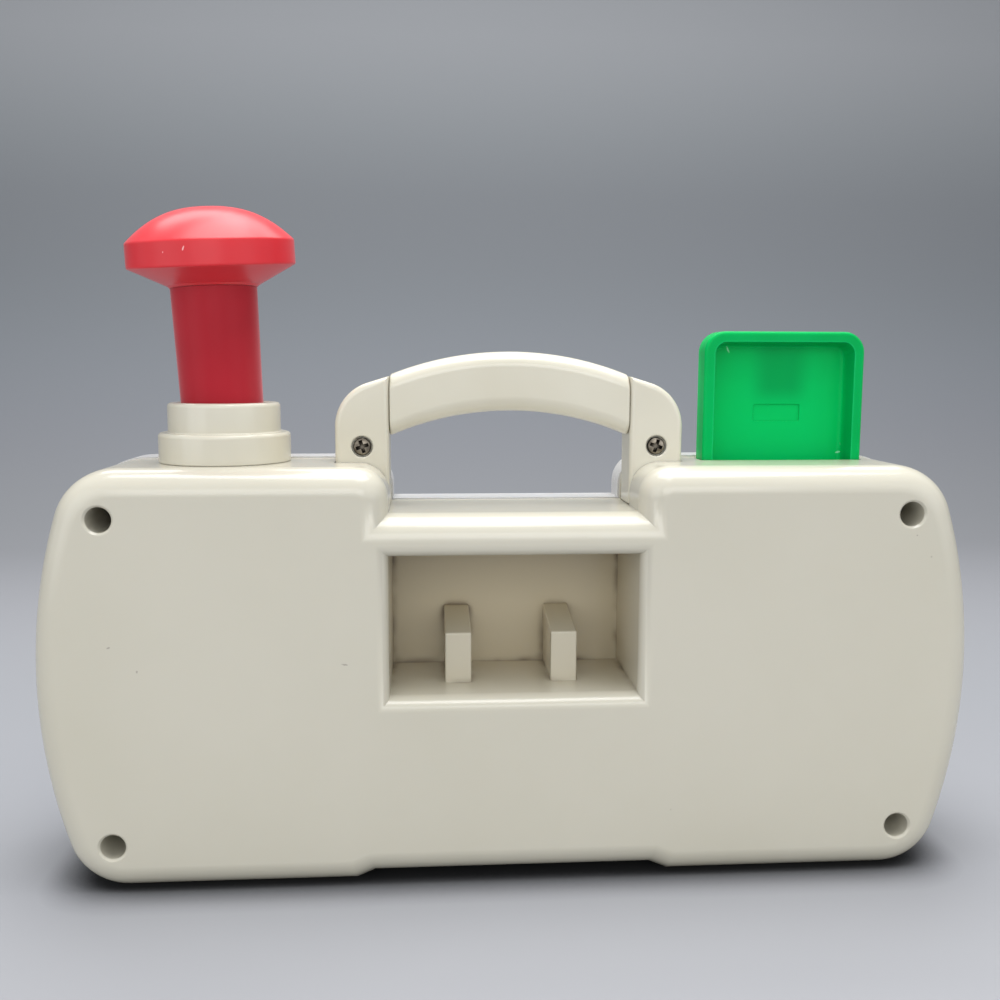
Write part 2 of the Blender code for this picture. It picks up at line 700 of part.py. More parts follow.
def build_back_shell():
    outline = housing_outline()
    solid = extruded("back_shell", outline, place(SEAM_INSET), place(0))
    round_faces(solid, RIM_RADIUS, 4, place(0))
    shell = make_part("back_shell", solid, "cream_shell")
    cut(shell, back_cavity())
    tray_x = POCKET_HALF_WIDTH + WALL
    tray_insets = (SEAM_INSET - WALL, POCKET_DEPTH + WALL)
    tray_z = (POCKET_FLOOR - WALL, POCKET_TOP + WALL)
    join(shell, block("tray_back", (-tray_x, tray_x), tray_insets, tray_z))
    pocket = make_cutter(
        block(
            "pocket_hollow",
            (-POCKET_HALF_WIDTH, POCKET_HALF_WIDTH),
            (LEAD_IN_DEPTH - WALL, POCKET_DEPTH),
            (POCKET_FLOOR, POCKET_TOP),
        )
    )
    join(pocket, pocket_mouth("pocket_mouth"))
    cut(pocket, strap_rib("strap_rib_left", -1), strap_rib("strap_rib_right", 1))
    cut(shell, pocket)
    for side in (-1, 1):
        cut(shell, post_socket(side))
        join(shell, post_tongue(side))
        pilot = (TONGUE_INSET - OVERRUN, TONGUE_INSET + TONGUE_THICKNESS + OVERRUN)
        radius, x = POST_SCREW_SHANK_RADIUS + RUNNING, side * TONGUE_X
        cut(shell, rod_inward(f"tongue_pilot_{side}", radius, x, POST_SCREW_Z, pilot, TINY_SIDES))
    recess, pilot = (-OVERRUN, RECESS_DEPTH), (0, SEAM_INSET + OVERRUN)
    for i, (x, z) in enumerate(case_screw_places()):
        radius = CASE_SCREW_SHANK_RADIUS + RUNNING
        cut(shell, rod_inward(f"case_recess_{i}", RECESS_RADIUS, x, z, recess, SMALL_SIDES))
        cut(shell, rod_inward(f"case_pilot_{i}", radius, x, z, pilot, SMALL_SIDES))
    cut(shell, collar_hole("back_collar_hole"), card_slot())
    return shell


def collar_hole(name):
    through = (CEILING - OVERRUN, HEIGHT + OVERRUN)
    return rod_up(name, COLLAR_SPIGOT_RADIUS + CLEARANCE, PLUNGER_X, through)


def card_slot():
    half = CARD_HALF_WIDTH + CARD_SLOT_PLAY
    insets = (CARD_INSET - CARD_SLOT_PLAY, CARD_BACK_INSET + CARD_SLOT_PLAY)
    through = (CEILING - OVERRUN, HEIGHT + OVERRUN)
    return block("card_slot", (CARD_X - half, CARD_X + half), insets, through)


def front_cavity():
    """The hollow of the front case, less the bosses, the cassette well and the key ears."""
    start = SEAM_INSET - OVERRUN
    outline = housing_outline(LIP - WALL, WALL)
    inner = FACE_INSET - WALL
    hollow = extruded("front_hollow", outline, place(inner), place(start))
    round_faces(hollow, RIM_RADIUS - WALL, 3, place(inner))
    cavity = make_cutter(hollow)
    reach = (start - OVERRUN, FACE_INSET)
    for i, (x, z) in enumerate(case_screw_places()):
        cut(cavity, rod_inward(f"front_boss_{i}", BOSS_RADIUS, x, z, reach, SMALL_SIDES))
    well_x = WELL_HALF_WIDTH + WALL
    well_z = (WELL_BOTTOM - WALL, WELL_TOP + WALL)
    cut(cavity, block("well_walls", (-well_x, well_x), (WELL_FLOOR_INSET - WALL, FACE_INSET), well_z))
    boss = (SHAFT_BOSS_INSET, FACE_INSET)
    cut(cavity, rod_inward("shaft_boss", SHAFT_BOSS_RADIUS, CARD_X, DIAL_Z, boss))
    return cavity


def key_ear(side):
    xs = [side * (KEY_OPENING_HALF + extra) for extra in (0, EAR_THICKNESS)]
    insets = (KEY_ROD_INSET - EAR_HEIGHT / 2, FACE_INSET - WALL / 2)
    zs = (KEY_ROD_Z - EAR_HEIGHT / 2, KEY_ROD_Z + EAR_HEIGHT / 2)
    return block(f"key_ear_{side}", xs, insets, zs)


def build_front_shell():
    start = SEAM_INSET + CLEARANCE
    solid = extruded("front_shell", housing_outline(LIP), place(FACE_INSET), place(start))
    round_faces(solid, RIM_RADIUS, 4, place(FACE_INSET))
    shell = make_part("front_shell", solid, "white_shell")
    cut(shell, front_cavity())
    well = rounded_rectangle(WELL_HALF_WIDTH, WELL_BOTTOM, WELL_TOP, WELL_CORNER_RADIUS)
    cut(shell, extruded("cassette_well", well, place(FACE_INSET + OVERRUN), place(WELL_FLOOR_INSET)))
    spindle = (WELL_FLOOR_INSET - WALL / 2, FACE_INSET - WINDOW_SINK)
    for side in (-1, 1):
        x = side * REEL_X
        join(shell, rod_inward(f"reel_spindle_{side}", SPINDLE_RADIUS, x, REEL_Z, spindle, SMALL_SIDES))
        join(shell, key_ear(side))
    through = (SEAM_INSET, FACE_INSET + OVERRUN)
    cut(shell, rod_inward("shaft_bore", SHAFT_RADIUS + RUNNING, CARD_X, DIAL_Z, through))
    speaker_room = GRILLE_SPIGOT_RADIUS + CLEARANCE
    cut(shell, rod_inward("speaker_hole", speaker_room, GRILLE_X, GRILLE_Z, through))
    opening_z = (KEY_BOTTOM - KEY_DROP_ROOM, KEY_TOP + CLEARANCE)
    opening_x = (-KEY_OPENING_HALF, KEY_OPENING_HALF)
    opening_insets = (FACE_INSET - 2 * WALL, FACE_INSET + OVERRUN)
    cut(shell, block("key_opening", opening_x, opening_insets, opening_z))
    cut(shell, key_rod_solid("ear_bores", KEY_ROD_RADIUS + RUNNING, OVERRUN))
    thread = (SEAM_INSET - OVERRUN, RECESS_DEPTH + CASE_SCREW_LENGTH + CLEARANCE)
    for i, (x, z) in enumerate(case_screw_places()):
        radius = CASE_SCREW_SHANK_RADIUS + RUNNING
        cut(shell, rod_inward(f"thread_hole_{i}", radius, x, z, thread, SMALL_SIDES))
    seat_z = (HEIGHT, HEIGHT + OVERRUN)
    seat = rod_up("collar_seat", COLLAR_LOWER_RADIUS + CLEARANCE, PLUNGER_X, seat_z, FINE_SIDES)
    cut(shell, collar_hole("front_collar_hole"), seat)
    return shell


def screw(name, x, z, seat_inset, head, shank_radius, length, finish="screw_steel"):
    """A pan-head screw that goes into the case from the back, with its head's seat at an inset."""
    head_radius, head_height = head
    crown = head_height / 4
    profile = [
        (0, 0),
        (head_radius / 2, 0),
        (head_radius - crown, crown / 2),
        (head_radius, 2 * crown),
        (head_radius, head_height),
        (shank_radius, head_height),
        (shank_radius, head_height + length - SCREW_TIP),
        (0, head_height + length),
    ]
    origin = (x, place(seat_inset - head_height), z)
    return turned(name, profile[::-1], origin, finish, SMALL_SIDES, forward=True)


def build_case_screws():
    head = (CASE_SCREW_HEAD_RADIUS, CASE_SCREW_HEAD_HEIGHT)
    for i, (x, z) in enumerate(case_screw_places()):
        seat = RECESS_DEPTH - CLEARANCE
        length = CASE_SCREW_LENGTH
        screw(f"case_screw_{i + 1}", x, z, seat, head, CASE_SCREW_SHANK_RADIUS, length)


def build_post_screws():
    head = (POST_SCREW_HEAD_RADIUS, POST_SCREW_HEAD_HEIGHT)
    for side, word in ((-1, "left"), (1, "right")):
        seat = POST_INSET + POST_SCREW_SINK
        x, shank = side * TONGUE_X, POST_SCREW_SHANK_RADIUS
        name = f"post_screw_{word}"
        made = screw(name, x, POST_SCREW_Z, seat, head, shank, POST_SCREW_LENGTH)
        top = seat - POST_SCREW_HEAD_HEIGHT
        half, width = CROSS_LENGTH / 2, CROSS_WIDTH / 2
        insets = (top - OVERRUN, top + CROSS_DEPTH)
        level = (x - half, x + half), insets, (POST_SCREW_Z - width, POST_SCREW_Z + width)
        upright = (x - width, x + width), insets, (POST_SCREW_Z - half, POST_SCREW_Z + half)
        cut(made, block(f"cross_level_{word}", *level), block(f"cross_upright_{word}", *upright))


def post_outline(side):
    centre = (POST_OUTER_X - POST_SHOULDER_RADIUS, POST_SHOULDER_Z)
    foot = NOTCH_FLOOR + CLEARANCE
    points = [(POST_INNER_X, foot), (POST_OUTER_X, foot)]
    points += arc(centre, POST_SHOULDER_RADIUS, 0, POST_SHOULDER_TURN, 8)
    points.append((POST_INNER_X, POST_TOP_INNER))
    return points if side > 0 else [(-x, z) for x, z in reversed(points)]


def build_handle_post(side, name):
    ends = (place(POST_INSET + POST_THICKNESS), place(POST_INSET))
    solid = extruded(name, post_outline(side), *ends)
    round_faces(solid, POST_EDGE_RADIUS, 2, *ends)
    post = make_part(name, solid, "cream_grip")
    xs = [side * (TONGUE_X + half * (TONGUE_WIDTH / 2 + CLEARANCE)) for half in (-1, 1)]
    insets = (TONGUE_INSET - CLEARANCE, TONGUE_INSET + TONGUE_THICKNESS + CLEARANCE)
    cut(post, block(f"{name}_hollow", xs, insets, (NOTCH_FLOOR - OVERRUN, TONGUE_TOP + CLEARANCE)))
    start = (side * (POST_INNER_X - OVERRUN), MID_Y, GRIP_AXIS_Z)
    end = (side * (POST_INNER_X + GRIP_BOSS_LENGTH + CLEARANCE), MID_Y, GRIP_AXIS_Z)
    cut(post, rod(f"{name}_bore", GRIP_BOSS_RADIUS + RUNNING, start, end))
    seat = POST_INSET + POST_SCREW_SINK + CLEARANCE
    x = side * TONGUE_X
    head_room = POST_SCREW_HEAD_RADIUS + CLEARANCE
    shank_room = POST_SCREW_SHANK_RADIUS + RUNNING
    sink, hole = (POST_INSET - OVERRUN, seat), (POST_INSET, MID_INSET)
    cut(post, rod_inward(f"{name}_sink", head_room, x, POST_SCREW_Z, sink, SMALL_SIDES))
    cut(post, rod_inward(f"{name}_hole", shank_room, x, POST_SCREW_Z, hole, TINY_SIDES))
    return post


def bow(top, sag, half_length, steps=10):
    """Points of a shallow arc from one end to the other, highest in the middle."""
    radius = (half_length**2 + sag**2) / (2 * sag)
    turn = math.asin(half_length / radius)
    quarter = math.pi / 2
    return arc((0, top - radius), radius, quarter - turn, quarter + turn, steps)


def build_grip():
    upper = bow(GRIP_TOP, GRIP_TOP_SAG, GRIP_HALF_LENGTH)
    lower = bow(GRIP_BOTTOM, GRIP_BOTTOM_SAG, GRIP_HALF_LENGTH)
    ends = (MID_Y - GRIP_THICKNESS / 2, MID_Y + GRIP_THICKNESS / 2)
    solid = extruded("grip", upper + lower[::-1], *ends)
    round_faces(solid, GRIP_EDGE_RADIUS, 3, *ends)
    grip = make_part("grip", solid, "cream_grip")
    for side in (-1, 1):
        start = (side * (GRIP_HALF_LENGTH - OVERRUN), MID_Y, GRIP_AXIS_Z)
        end = (side * (POST_INNER_X + GRIP_BOSS_LENGTH), MID_Y, GRIP_AXIS_Z)
        join(grip, rod(f"grip_boss_{side}", GRIP_BOSS_RADIUS, start, end))
    attach(axis_empty("grip_axis", (0, MID_Y, GRIP_AXIS_Z)), grip)


def build_collar():
    edge = COLLAR_EDGE_RADIUS
    mid = COLLAR_BASE + COLLAR_STEP_HEIGHT
    quarter = math.pi / 2

    def shoulder(radius, top):
        return arc((radius - edge, top - edge), edge, quarter, 0, 3)

    profile = [(COLLAR_BORE_RADIUS, COLLAR_TOP - edge / 2), (COLLAR_BORE_RADIUS + edge / 2, COLLAR_TOP)]
    profile += shoulder(COLLAR_UPPER_RADIUS, COLLAR_TOP)
    profile += [(COLLAR_UPPER_RADIUS, mid)]
    profile += shoulder(COLLAR_LOWER_RADIUS, mid)
    profile += [
        (COLLAR_LOWER_RADIUS, COLLAR_BASE),
        (COLLAR_SPIGOT_RADIUS, COLLAR_BASE),
        (COLLAR_SPIGOT_RADIUS, COLLAR_FLANGE_TOP),
        (COLLAR_FLANGE_RADIUS, COLLAR_FLANGE_TOP),
        (COLLAR_FLANGE_RADIUS, COLLAR_FOOT),
        (COLLAR_BORE_RADIUS, COLLAR_FOOT),
    ]
    turned("plunger_collar", profile, (PLUNGER_X, MID_Y, 0), "cream_grip", closed=True)


def build_plunger():
    """Everything that moves down when the knob is pressed. It is built upright, then leaned."""
    above = STEM_TOP + CLEARANCE
    band_low = above + KNOB_UNDER_HEIGHT
    band_high = band_low + KNOB_BAND_HEIGHT
    apex = band_high + KNOB_DOME_HEIGHT
    rim = KNOB_RADIUS - KNOB_EDGE
    dome_radius = (rim**2 + KNOB_DOME_HEIGHT**2) / (2 * KNOB_DOME_HEIGHT)
    half_turn = math.asin(rim / dome_radius)
    quarter = math.pi / 2
    dome = arc((0, apex - dome_radius), dome_radius, quarter, quarter - half_turn, 7)
    spigot = STEM_RADIUS - STEM_WALL - CLEARANCE
    profile = [(max(radius, 0), height) for radius, height in dome]
    profile[0] = (0, apex)
    profile += [
        (KNOB_RADIUS, band_high - KNOB_EDGE),
        (KNOB_RADIUS, band_low + KNOB_EDGE),
        (rim, band_low),
        (STEM_RADIUS + KNOB_EDGE, above + KNOB_EDGE),
        (STEM_RADIUS, above),
        (spigot, above),
        (spigot, above - KNOB_SPIGOT_LENGTH),
        (0, above - KNOB_SPIGOT_LENGTH),
    ]
    knob = turned("plunger_knob", profile, (PLUNGER_X, MID_Y, 0), "red_knob")
    bore = STEM_RADIUS - STEM_WALL
    tube = [(STEM_RADIUS, STEM_TOP), (STEM_RADIUS, STEM_BOTTOM), (bore, STEM_BOTTOM), (bore, STEM_TOP)]
    stem = turned("plunger_stem", tube, (PLUNGER_X, MID_Y, 0), "red_stem", closed=True)
    plug = bore - CLEARANCE
    foot = [
        (0, RETAINER_TOP + RETAINER_PLUG_LENGTH),
        (plug, RETAINER_TOP + RETAINER_PLUG_LENGTH),
        (plug, RETAINER_TOP),
        (RETAINER_RADIUS, RETAINER_TOP),
        (RETAINER_RADIUS, RETAINER_TOP - RETAINER_THICKNESS),
        (0, RETAINER_TOP - RETAINER_THICKNESS),
    ]
    retainer = turned("plunger_retainer", foot, (PLUNGER_X, MID_Y, 0), "white_inner", ROUND_SIDES)
    axis = axis_empty("plunger_axis", (PLUNGER_X, MID_Y, LEAN_POINT_Z))
    attach(axis, knob, stem, retainer)
    axis.rotation_euler = (0, PLUNGER_LEAN, 0)


def build_squeaker():
    """A rubber bellows under the plunger, on a whistle that stands on the floor of the case."""
    whistle_foot = WALL + CLEARANCE
    seat = whistle_foot + WHISTLE_HEIGHT
    plug = WHISTLE_PLUG_RADIUS
    profile = [
        (WHISTLE_BORE_RADIUS, seat + WHISTLE_PLUG_HEIGHT),
        (plug, seat + WHISTLE_PLUG_HEIGHT),
        (plug, seat),
        (WHISTLE_RADIUS, seat),
        (WHISTLE_RADIUS, whistle_foot),
        (WHISTLE_BORE_RADIUS, whistle_foot),
    ]
    origin = (PLUNGER_X, MID_Y, 0)
    whistle = turned("squeaker_whistle", profile, origin, "white_inner", ROUND_SIDES, closed=True)
    slot_x = (PLUNGER_X - WHISTLE_SLOT_WIDTH / 2, PLUNGER_X + WHISTLE_SLOT_WIDTH / 2)
    slot_z = (whistle_foot + WALL, whistle_foot + WALL + WHISTLE_SLOT_HEIGHT)
    front = MID_INSET + WHISTLE_RADIUS + OVERRUN
    cut(whistle, block("whistle_slot", slot_x, (MID_INSET, front), slot_z))
    tilt_drop = RETAINER_RADIUS * math.sin(PLUNGER_LEAN)
    top = RETAINER_TOP - RETAINER_THICKNESS - tilt_drop - CLEARANCE
    bottom = seat + CLEARANCE
    fold_height = (top - bottom - 2 * BELLOWS_END_HEIGHT) / BELLOWS_FOLDS
    neck = BELLOWS_RADIUS - BELLOWS_FOLD
    outer = [(neck, top), (neck, top - BELLOWS_END_HEIGHT)]
    for i in range(BELLOWS_FOLDS):
        level = top - BELLOWS_END_HEIGHT - i * fold_height
        outer.append((BELLOWS_RADIUS, level - fold_height / 2))
        outer.append((neck, level - fold_height))
    outer.append((neck, bottom))
    inner = [(radius - BELLOWS_WALL, height) for radius, height in outer[1:-1]]
    mouth = plug + CLEARANCE
    low = [(mouth, bottom), (mouth, bottom + BELLOWS_WALL)]
    under_roof = [(neck - BELLOWS_WALL, top - BELLOWS_WALL), (0, top - BELLOWS_WALL)]
    wall = [(0, top)] + outer + low + inner[::-1] + under_roof
    turned("squeaker_bellows", wall, (PLUNGER_X, MID_Y, 0), "rubber", SMALL_SIDES)


def card_outline(shrink=0):
    half, radius = CARD_HALF_WIDTH - shrink, CARD_CORNER_RADIUS - shrink
    low, high = CARD_BOTTOM + shrink, CARD_TOP - shrink
    quarter = math.pi / 2
    points = [(CARD_X - half, low), (CARD_X + half, low)]
    points += arc((CARD_X + half - radius, high - radius), radius, 0, quarter)
    points += arc((CARD_X - half + radius, high - radius), radius, quarter, 2 * quarter)
    return points


def build_card():
    ends = (place(CARD_BACK_INSET), place(CARD_INSET))
    solid = extruded("popup_card", card_outline(), *ends)
    round_faces(solid, CARD_EDGE_RADIUS, 2, *ends)
    card = make_part("popup_card", solid, "green_card")
    floor = CARD_BACK_INSET - CARD_WEB
    tray = extruded("card_tray", card_outline(CARD_RIM), place(floor), place(CARD_INSET - OVERRUN))
    cut(card, tray)
    half = CARD_MARK_WIDTH / 2
    mark_z = (CARD_MARK_Z - CARD_MARK_HEIGHT / 2, CARD_MARK_Z + CARD_MARK_HEIGHT / 2)
    mark_insets = (floor - OVERRUN, floor + CARD_MARK_SINK)
    cut(card, block("card_mark", (CARD_X - half, CARD_X + half), mark_insets, mark_z))
    for side in (-1, 1):
        middle = CARD_X + side * CARD_STOP_X
        xs = (middle - CARD_STOP_WIDTH / 2, middle + CARD_STOP_WIDTH / 2)
        insets = (CARD_INSET - CARD_STOP_DEPTH, CARD_INSET + CARD_RIM)
        join(card, block(f"card_stop_{side}", xs, insets, (CARD_BOTTOM, CARD_BOTTOM + CARD_RIM - WELD)))
    rack = build_rack()
    attach(axis_empty("card_axis", (CARD_X, MID_Y, HEIGHT)), card, rack)


def build_card_guide():
    """Two channels round the edges of the card, tied by a bar that the card's stops meet."""
    inner = CARD_HALF_WIDTH + CARD_SLOT_PLAY
    outer = inner + GUIDE_WALL
    grip = CARD_HALF_WIDTH - GUIDE_GRIP
    back = CARD_INSET - CARD_SLOT_PLAY
    front = CARD_BACK_INSET + CARD_SLOT_PLAY
    heights = (GUIDE_BOTTOM, GUIDE_TOP)
    full_x = (CARD_X - outer, CARD_X + outer)
    insets = (back - GUIDE_WALL, front + GUIDE_WALL)
    guide = make_part("card_guide", block("card_guide", full_x, insets, heights), "white_inner")
    all_z = (GUIDE_BOTTOM - OVERRUN, GUIDE_TOP + OVERRUN)
    cut(guide, block("guide_channel", (CARD_X - inner, CARD_X + inner), (back, front), all_z))
    window_x = (CARD_X - grip, CARD_X + grip)
    stop_level = CARD_BOTTOM + CARD_RIM + CLEARANCE
    cut(guide, block("guide_front_gap", window_x, (front - WELD, front + OVERRUN), all_z))
    below = (GUIDE_BOTTOM - OVERRUN, stop_level)
    over = (stop_level + GUIDE_BAR_HEIGHT, GUIDE_TOP + OVERRUN)
    cut(guide, block("guide_back_gap_low", window_x, (back - OVERRUN, back + WELD), below))
    cut(guide, block("guide_back_gap_high", window_x, (back - OVERRUN, back + WELD), over))
    return guide


def build_guide_bosses(shell):
    """Two bosses of the back case that the card guide is fixed to."""
    back = CARD_INSET - CARD_SLOT_PLAY - GUIDE_WALL - CLEARANCE
    level = CARD_BOTTOM + CARD_RIM + CLEARANCE + GUIDE_BAR_HEIGHT / 2
    for side in (-1, 1):
        x = CARD_X + side * CARD_STOP_X
        reach = (WALL / 2, back)
        join(shell, rod_inward(f"guide_boss_{side}", GUIDE_BAR_HEIGHT / 2, x, level, reach, SMALL_SIDES))


def tooth_half_angle(radius):
    """Half the angle that a pinion tooth takes up at a radius."""
    def involute(angle):
        return math.tan(angle) - angle

    base = PITCH_RADIUS * math.cos(PRESSURE_ANGLE)
    at_pitch = math.pi / (2 * PINION_TEETH) - BACKLASH / (2 * PITCH_RADIUS)
    return at_pitch + involute(PRESSURE_ANGLE) - involute(math.acos(min(1, base / radius)))


def pinion_outline():
    base = max(PITCH_RADIUS * math.cos(PRESSURE_ANGLE), ROOT_RADIUS)
    radii = [base + (TIP_RADIUS - base) * i / FLANK_STEPS for i in range(FLANK_STEPS + 1)]
    flank = [(radius, tooth_half_angle(radius)) for radius in radii]
    flank.insert(0, (ROOT_RADIUS, flank[0][1]))
    points = []
    for tooth in range(PINION_TEETH):
        middle = 2 * math.pi * tooth / PINION_TEETH
        polar = [(radius, middle - half) for radius, half in flank]
        polar += [(radius, middle + half) for radius, half in reversed(flank)]
        points += [(CARD_X + r * math.cos(a), DIAL_Z + r * math.sin(a)) for r, a in polar]
    return points


def rack_outline():
    """Straight-sided teeth that point at the pinion, which has a tooth in the gap at its own height."""
    addendum, dedendum = ADDENDUM_SHARE * TOOTH_MODULE, DEDENDUM_SHARE * TOOTH_MODULE
    slope = math.tan(PRESSURE_ANGLE)
    half = TOOTH_PITCH / 4 - BACKLASH / 2
    root, tip, back = RACK_ROOT_X, RACK_LINE_X - addendum, RACK_BACK_X
    start = DIAL_Z - TOOTH_PITCH
    end = start + RACK_TEETH * TOOTH_PITCH
    points = [(back, start), (back, end), (root, end)]
    for i in reversed(range(RACK_TEETH)):
        middle = start + (i + 0.5) * TOOTH_PITCH
        points += [
            (root, middle + half + dedendum * slope),
            (tip, middle + half - addendum * slope),
            (tip, middle - half + addendum * slope),
            (root, middle - half - dedendum * slope),
        ]
    points.append((root, start))
    return points


def build_rack():
    insets = (CARD_BACK_INSET + CLEARANCE, GEAR_INSET + GEAR_THICKNESS)
    solid = extruded("card_rack", rack_outline(), place(insets[1]), place(GEAR_INSET))
    rack = make_part("card_rack", solid, "white_inner")
    pad_x = (RACK_ROOT_X + WELD, RACK_BACK_X - RUNNING)
    top = DIAL_Z + (RACK_TEETH - 1) * TOOTH_PITCH - WELD
    join(rack, block("rack_pad", pad_x, (insets[0], insets[1] - RUNNING), (CARD_BOTTOM, top)))
    return rack


def build_dial():
    """The turning dial on the play face, its toothed shaft and the cap over the shaft's end."""
    face = FACE_INSET + CLEARANCE
    tip = face + DIAL_BASE
    rear = GEAR_INSET
    collar_end = SHAFT_BOSS_INSET - CLEARANCE
    collar_start = collar_end - SHAFT_COLLAR_LENGTH
    gear_end = rear + GEAR_THICKNESS
    teeth = extruded("dial_pinion", pinion_outline(), place(gear_end), place(rear))
    pinion = make_part("dial_pinion", teeth, "white_inner")
    overlap = GEAR_THICKNESS / 2
    join(
        pinion,
        rod_inward("pinion_shaft", SHAFT_RADIUS, CARD_X, DIAL_Z, (gear_end - overlap, tip)),
        rod_inward("pinion_collar", SHAFT_COLLAR_RADIUS, CARD_X, DIAL_Z, (collar_start, collar_end)),
    )
    edge = DIAL_EDGE_RADIUS
    rim_top = DIAL_BASE + DIAL_RIM_HEIGHT
    hub_top = DIAL_BASE + DIAL_HUB_HEIGHT
    rim_inner = DIAL_RADIUS - DIAL_RIM_WIDTH
    sink = hub_top - DIAL_CAP_SINK
    cap_room = DIAL_CAP_RADIUS + CLEARANCE
    bore = SHAFT_RADIUS + RUNNING
    profile = [
        (bore, sink),
        (cap_room, sink),
        (cap_room, hub_top),
        (DIAL_HUB_RADIUS - edge, hub_top),
        (DIAL_HUB_RADIUS, hub_top - edge),
        (DIAL_HUB_RADIUS, DIAL_BASE),
        (rim_inner, DIAL_BASE),
        (rim_inner, rim_top - edge),
        (rim_inner + edge, rim_top),
        (DIAL_RADIUS - edge, rim_top),
        (DIAL_RADIUS, rim_top - edge),
        (DIAL_RADIUS, 0),
        (bore, 0),
    ]
    origin = (CARD_X, place(face), DIAL_Z)
    dial = turned("turning_dial", profile, origin, "yellow_dial", closed=True, forward=True)
    through = (FACE_INSET, face + rim_top + OVERRUN)
    for i in range(DIAL_HOLES):
        angle = 2 * math.pi * (i + 0.5) / DIAL_HOLES
        x, z = CARD_X + DIAL_HOLE_RING * math.cos(angle), DIAL_Z + DIAL_HOLE_RING * math.sin(angle)
        cut(dial, rod_inward(f"finger_hole_{i}", DIAL_HOLE_RADIUS, x, z, through, SMALL_SIDES))
    for i in range(DIAL_SCALLOPS):
        angle = 2 * math.pi * i / DIAL_SCALLOPS
        x, z = CARD_X + DIAL_RADIUS * math.cos(angle), DIAL_Z + DIAL_RADIUS * math.sin(angle)
        cut(dial, rod_inward(f"scallop_{i}", DIAL_SCALLOP_RADIUS, x, z, through, TINY_SIDES))
    crown = DIAL_CAP_HEIGHT - DIAL_CAP_SINK
    cap_profile = [
        (0, DIAL_CAP_HEIGHT),
        (DIAL_CAP_RADIUS - crown, DIAL_CAP_HEIGHT - crown / 3),
        (DIAL_CAP_RADIUS, DIAL_CAP_SINK),
        (DIAL_CAP_RADIUS, 0),
        (0, 0),
    ]
    cap_origin = (CARD_X, place(face + sink + CLEARANCE), DIAL_Z)
    cap = turned("dial_cap", cap_profile, cap_origin, "red_knob", ROUND_SIDES, forward=True)
    attach(axis_empty("dial_axis", (CARD_X, place(FACE_INSET), DIAL_Z)), dial, pinion, cap)


def build_click_finger():
    """A springy blade beside the pinion, with a foot that stands on the inside of the play face."""
    near = CARD_X - TIP_RADIUS - CLEARANCE
    blade_x = (near - FINGER_THICKNESS, near)
    low = DIAL_Z - FINGER_LENGTH / 2
    blade_z = (low, low + FINGER_LENGTH)
    insets = (GEAR_INSET + RUNNING, GEAR_INSET + FINGER_WIDTH)
    finger = make_part("click_finger", block("click_finger", blade_x, insets, blade_z), "white_inner")
    root_x = (near - FINGER_ROOT, near)
    root_insets = (GEAR_INSET, FACE_INSET - WALL - CLEARANCE)
    join(finger, block("finger_root", root_x, root_insets, (low - FINGER_ROOT, low + FINGER_ROOT / 2)))


def build_grille():
    edge = DIAL_EDGE_RADIUS
    inner = GRILLE_RADIUS - GRILLE_RIM_WIDTH
    dome_radius = (inner**2 + GRILLE_DOME**2) / (2 * GRILLE_DOME)
    turn = math.asin(inner / dome_radius)
    quarter = math.pi / 2
    dome_base = GRILLE_PLATE
    dome = arc((0, dome_base + GRILLE_DOME - dome_radius), dome_radius, quarter, quarter - turn, 4)
    profile = [(0, dome_base + GRILLE_DOME)] + dome[1:]
    profile += [
        (inner + edge / 2, GRILLE_RIM_HEIGHT),
        (GRILLE_RADIUS - edge, GRILLE_RIM_HEIGHT),
        (GRILLE_RADIUS, GRILLE_RIM_HEIGHT - edge),
        (GRILLE_RADIUS, 0),
        (GRILLE_SPIGOT_RADIUS, 0),
        (GRILLE_SPIGOT_RADIUS, -GRILLE_SPIGOT_LENGTH),
        (0, -GRILLE_SPIGOT_LENGTH),
    ]
    face = FACE_INSET + CLEARANCE
    origin = (GRILLE_X, place(face), GRILLE_Z)
    grille = turned("speaker_grille", profile, origin, "blue_grille", forward=True)
    through = (face - GRILLE_SPIGOT_LENGTH - OVERRUN, face + GRILLE_RIM_HEIGHT + OVERRUN)
    for ring in range(GRILLE_RINGS + 1):
        count = max(1, 6 * ring)
        for i in range(count):
            angle = 2 * math.pi * i / count
            reach = ring * GRILLE_RING_STEP
            x, z = GRILLE_X + reach * math.cos(angle), GRILLE_Z + reach * math.sin(angle)
            name = f"sound_hole_{ring}_{i}"
            cut(grille, rod_inward(name, GRILLE_HOLE_RADIUS, x, z, through, SMALL_SIDES))


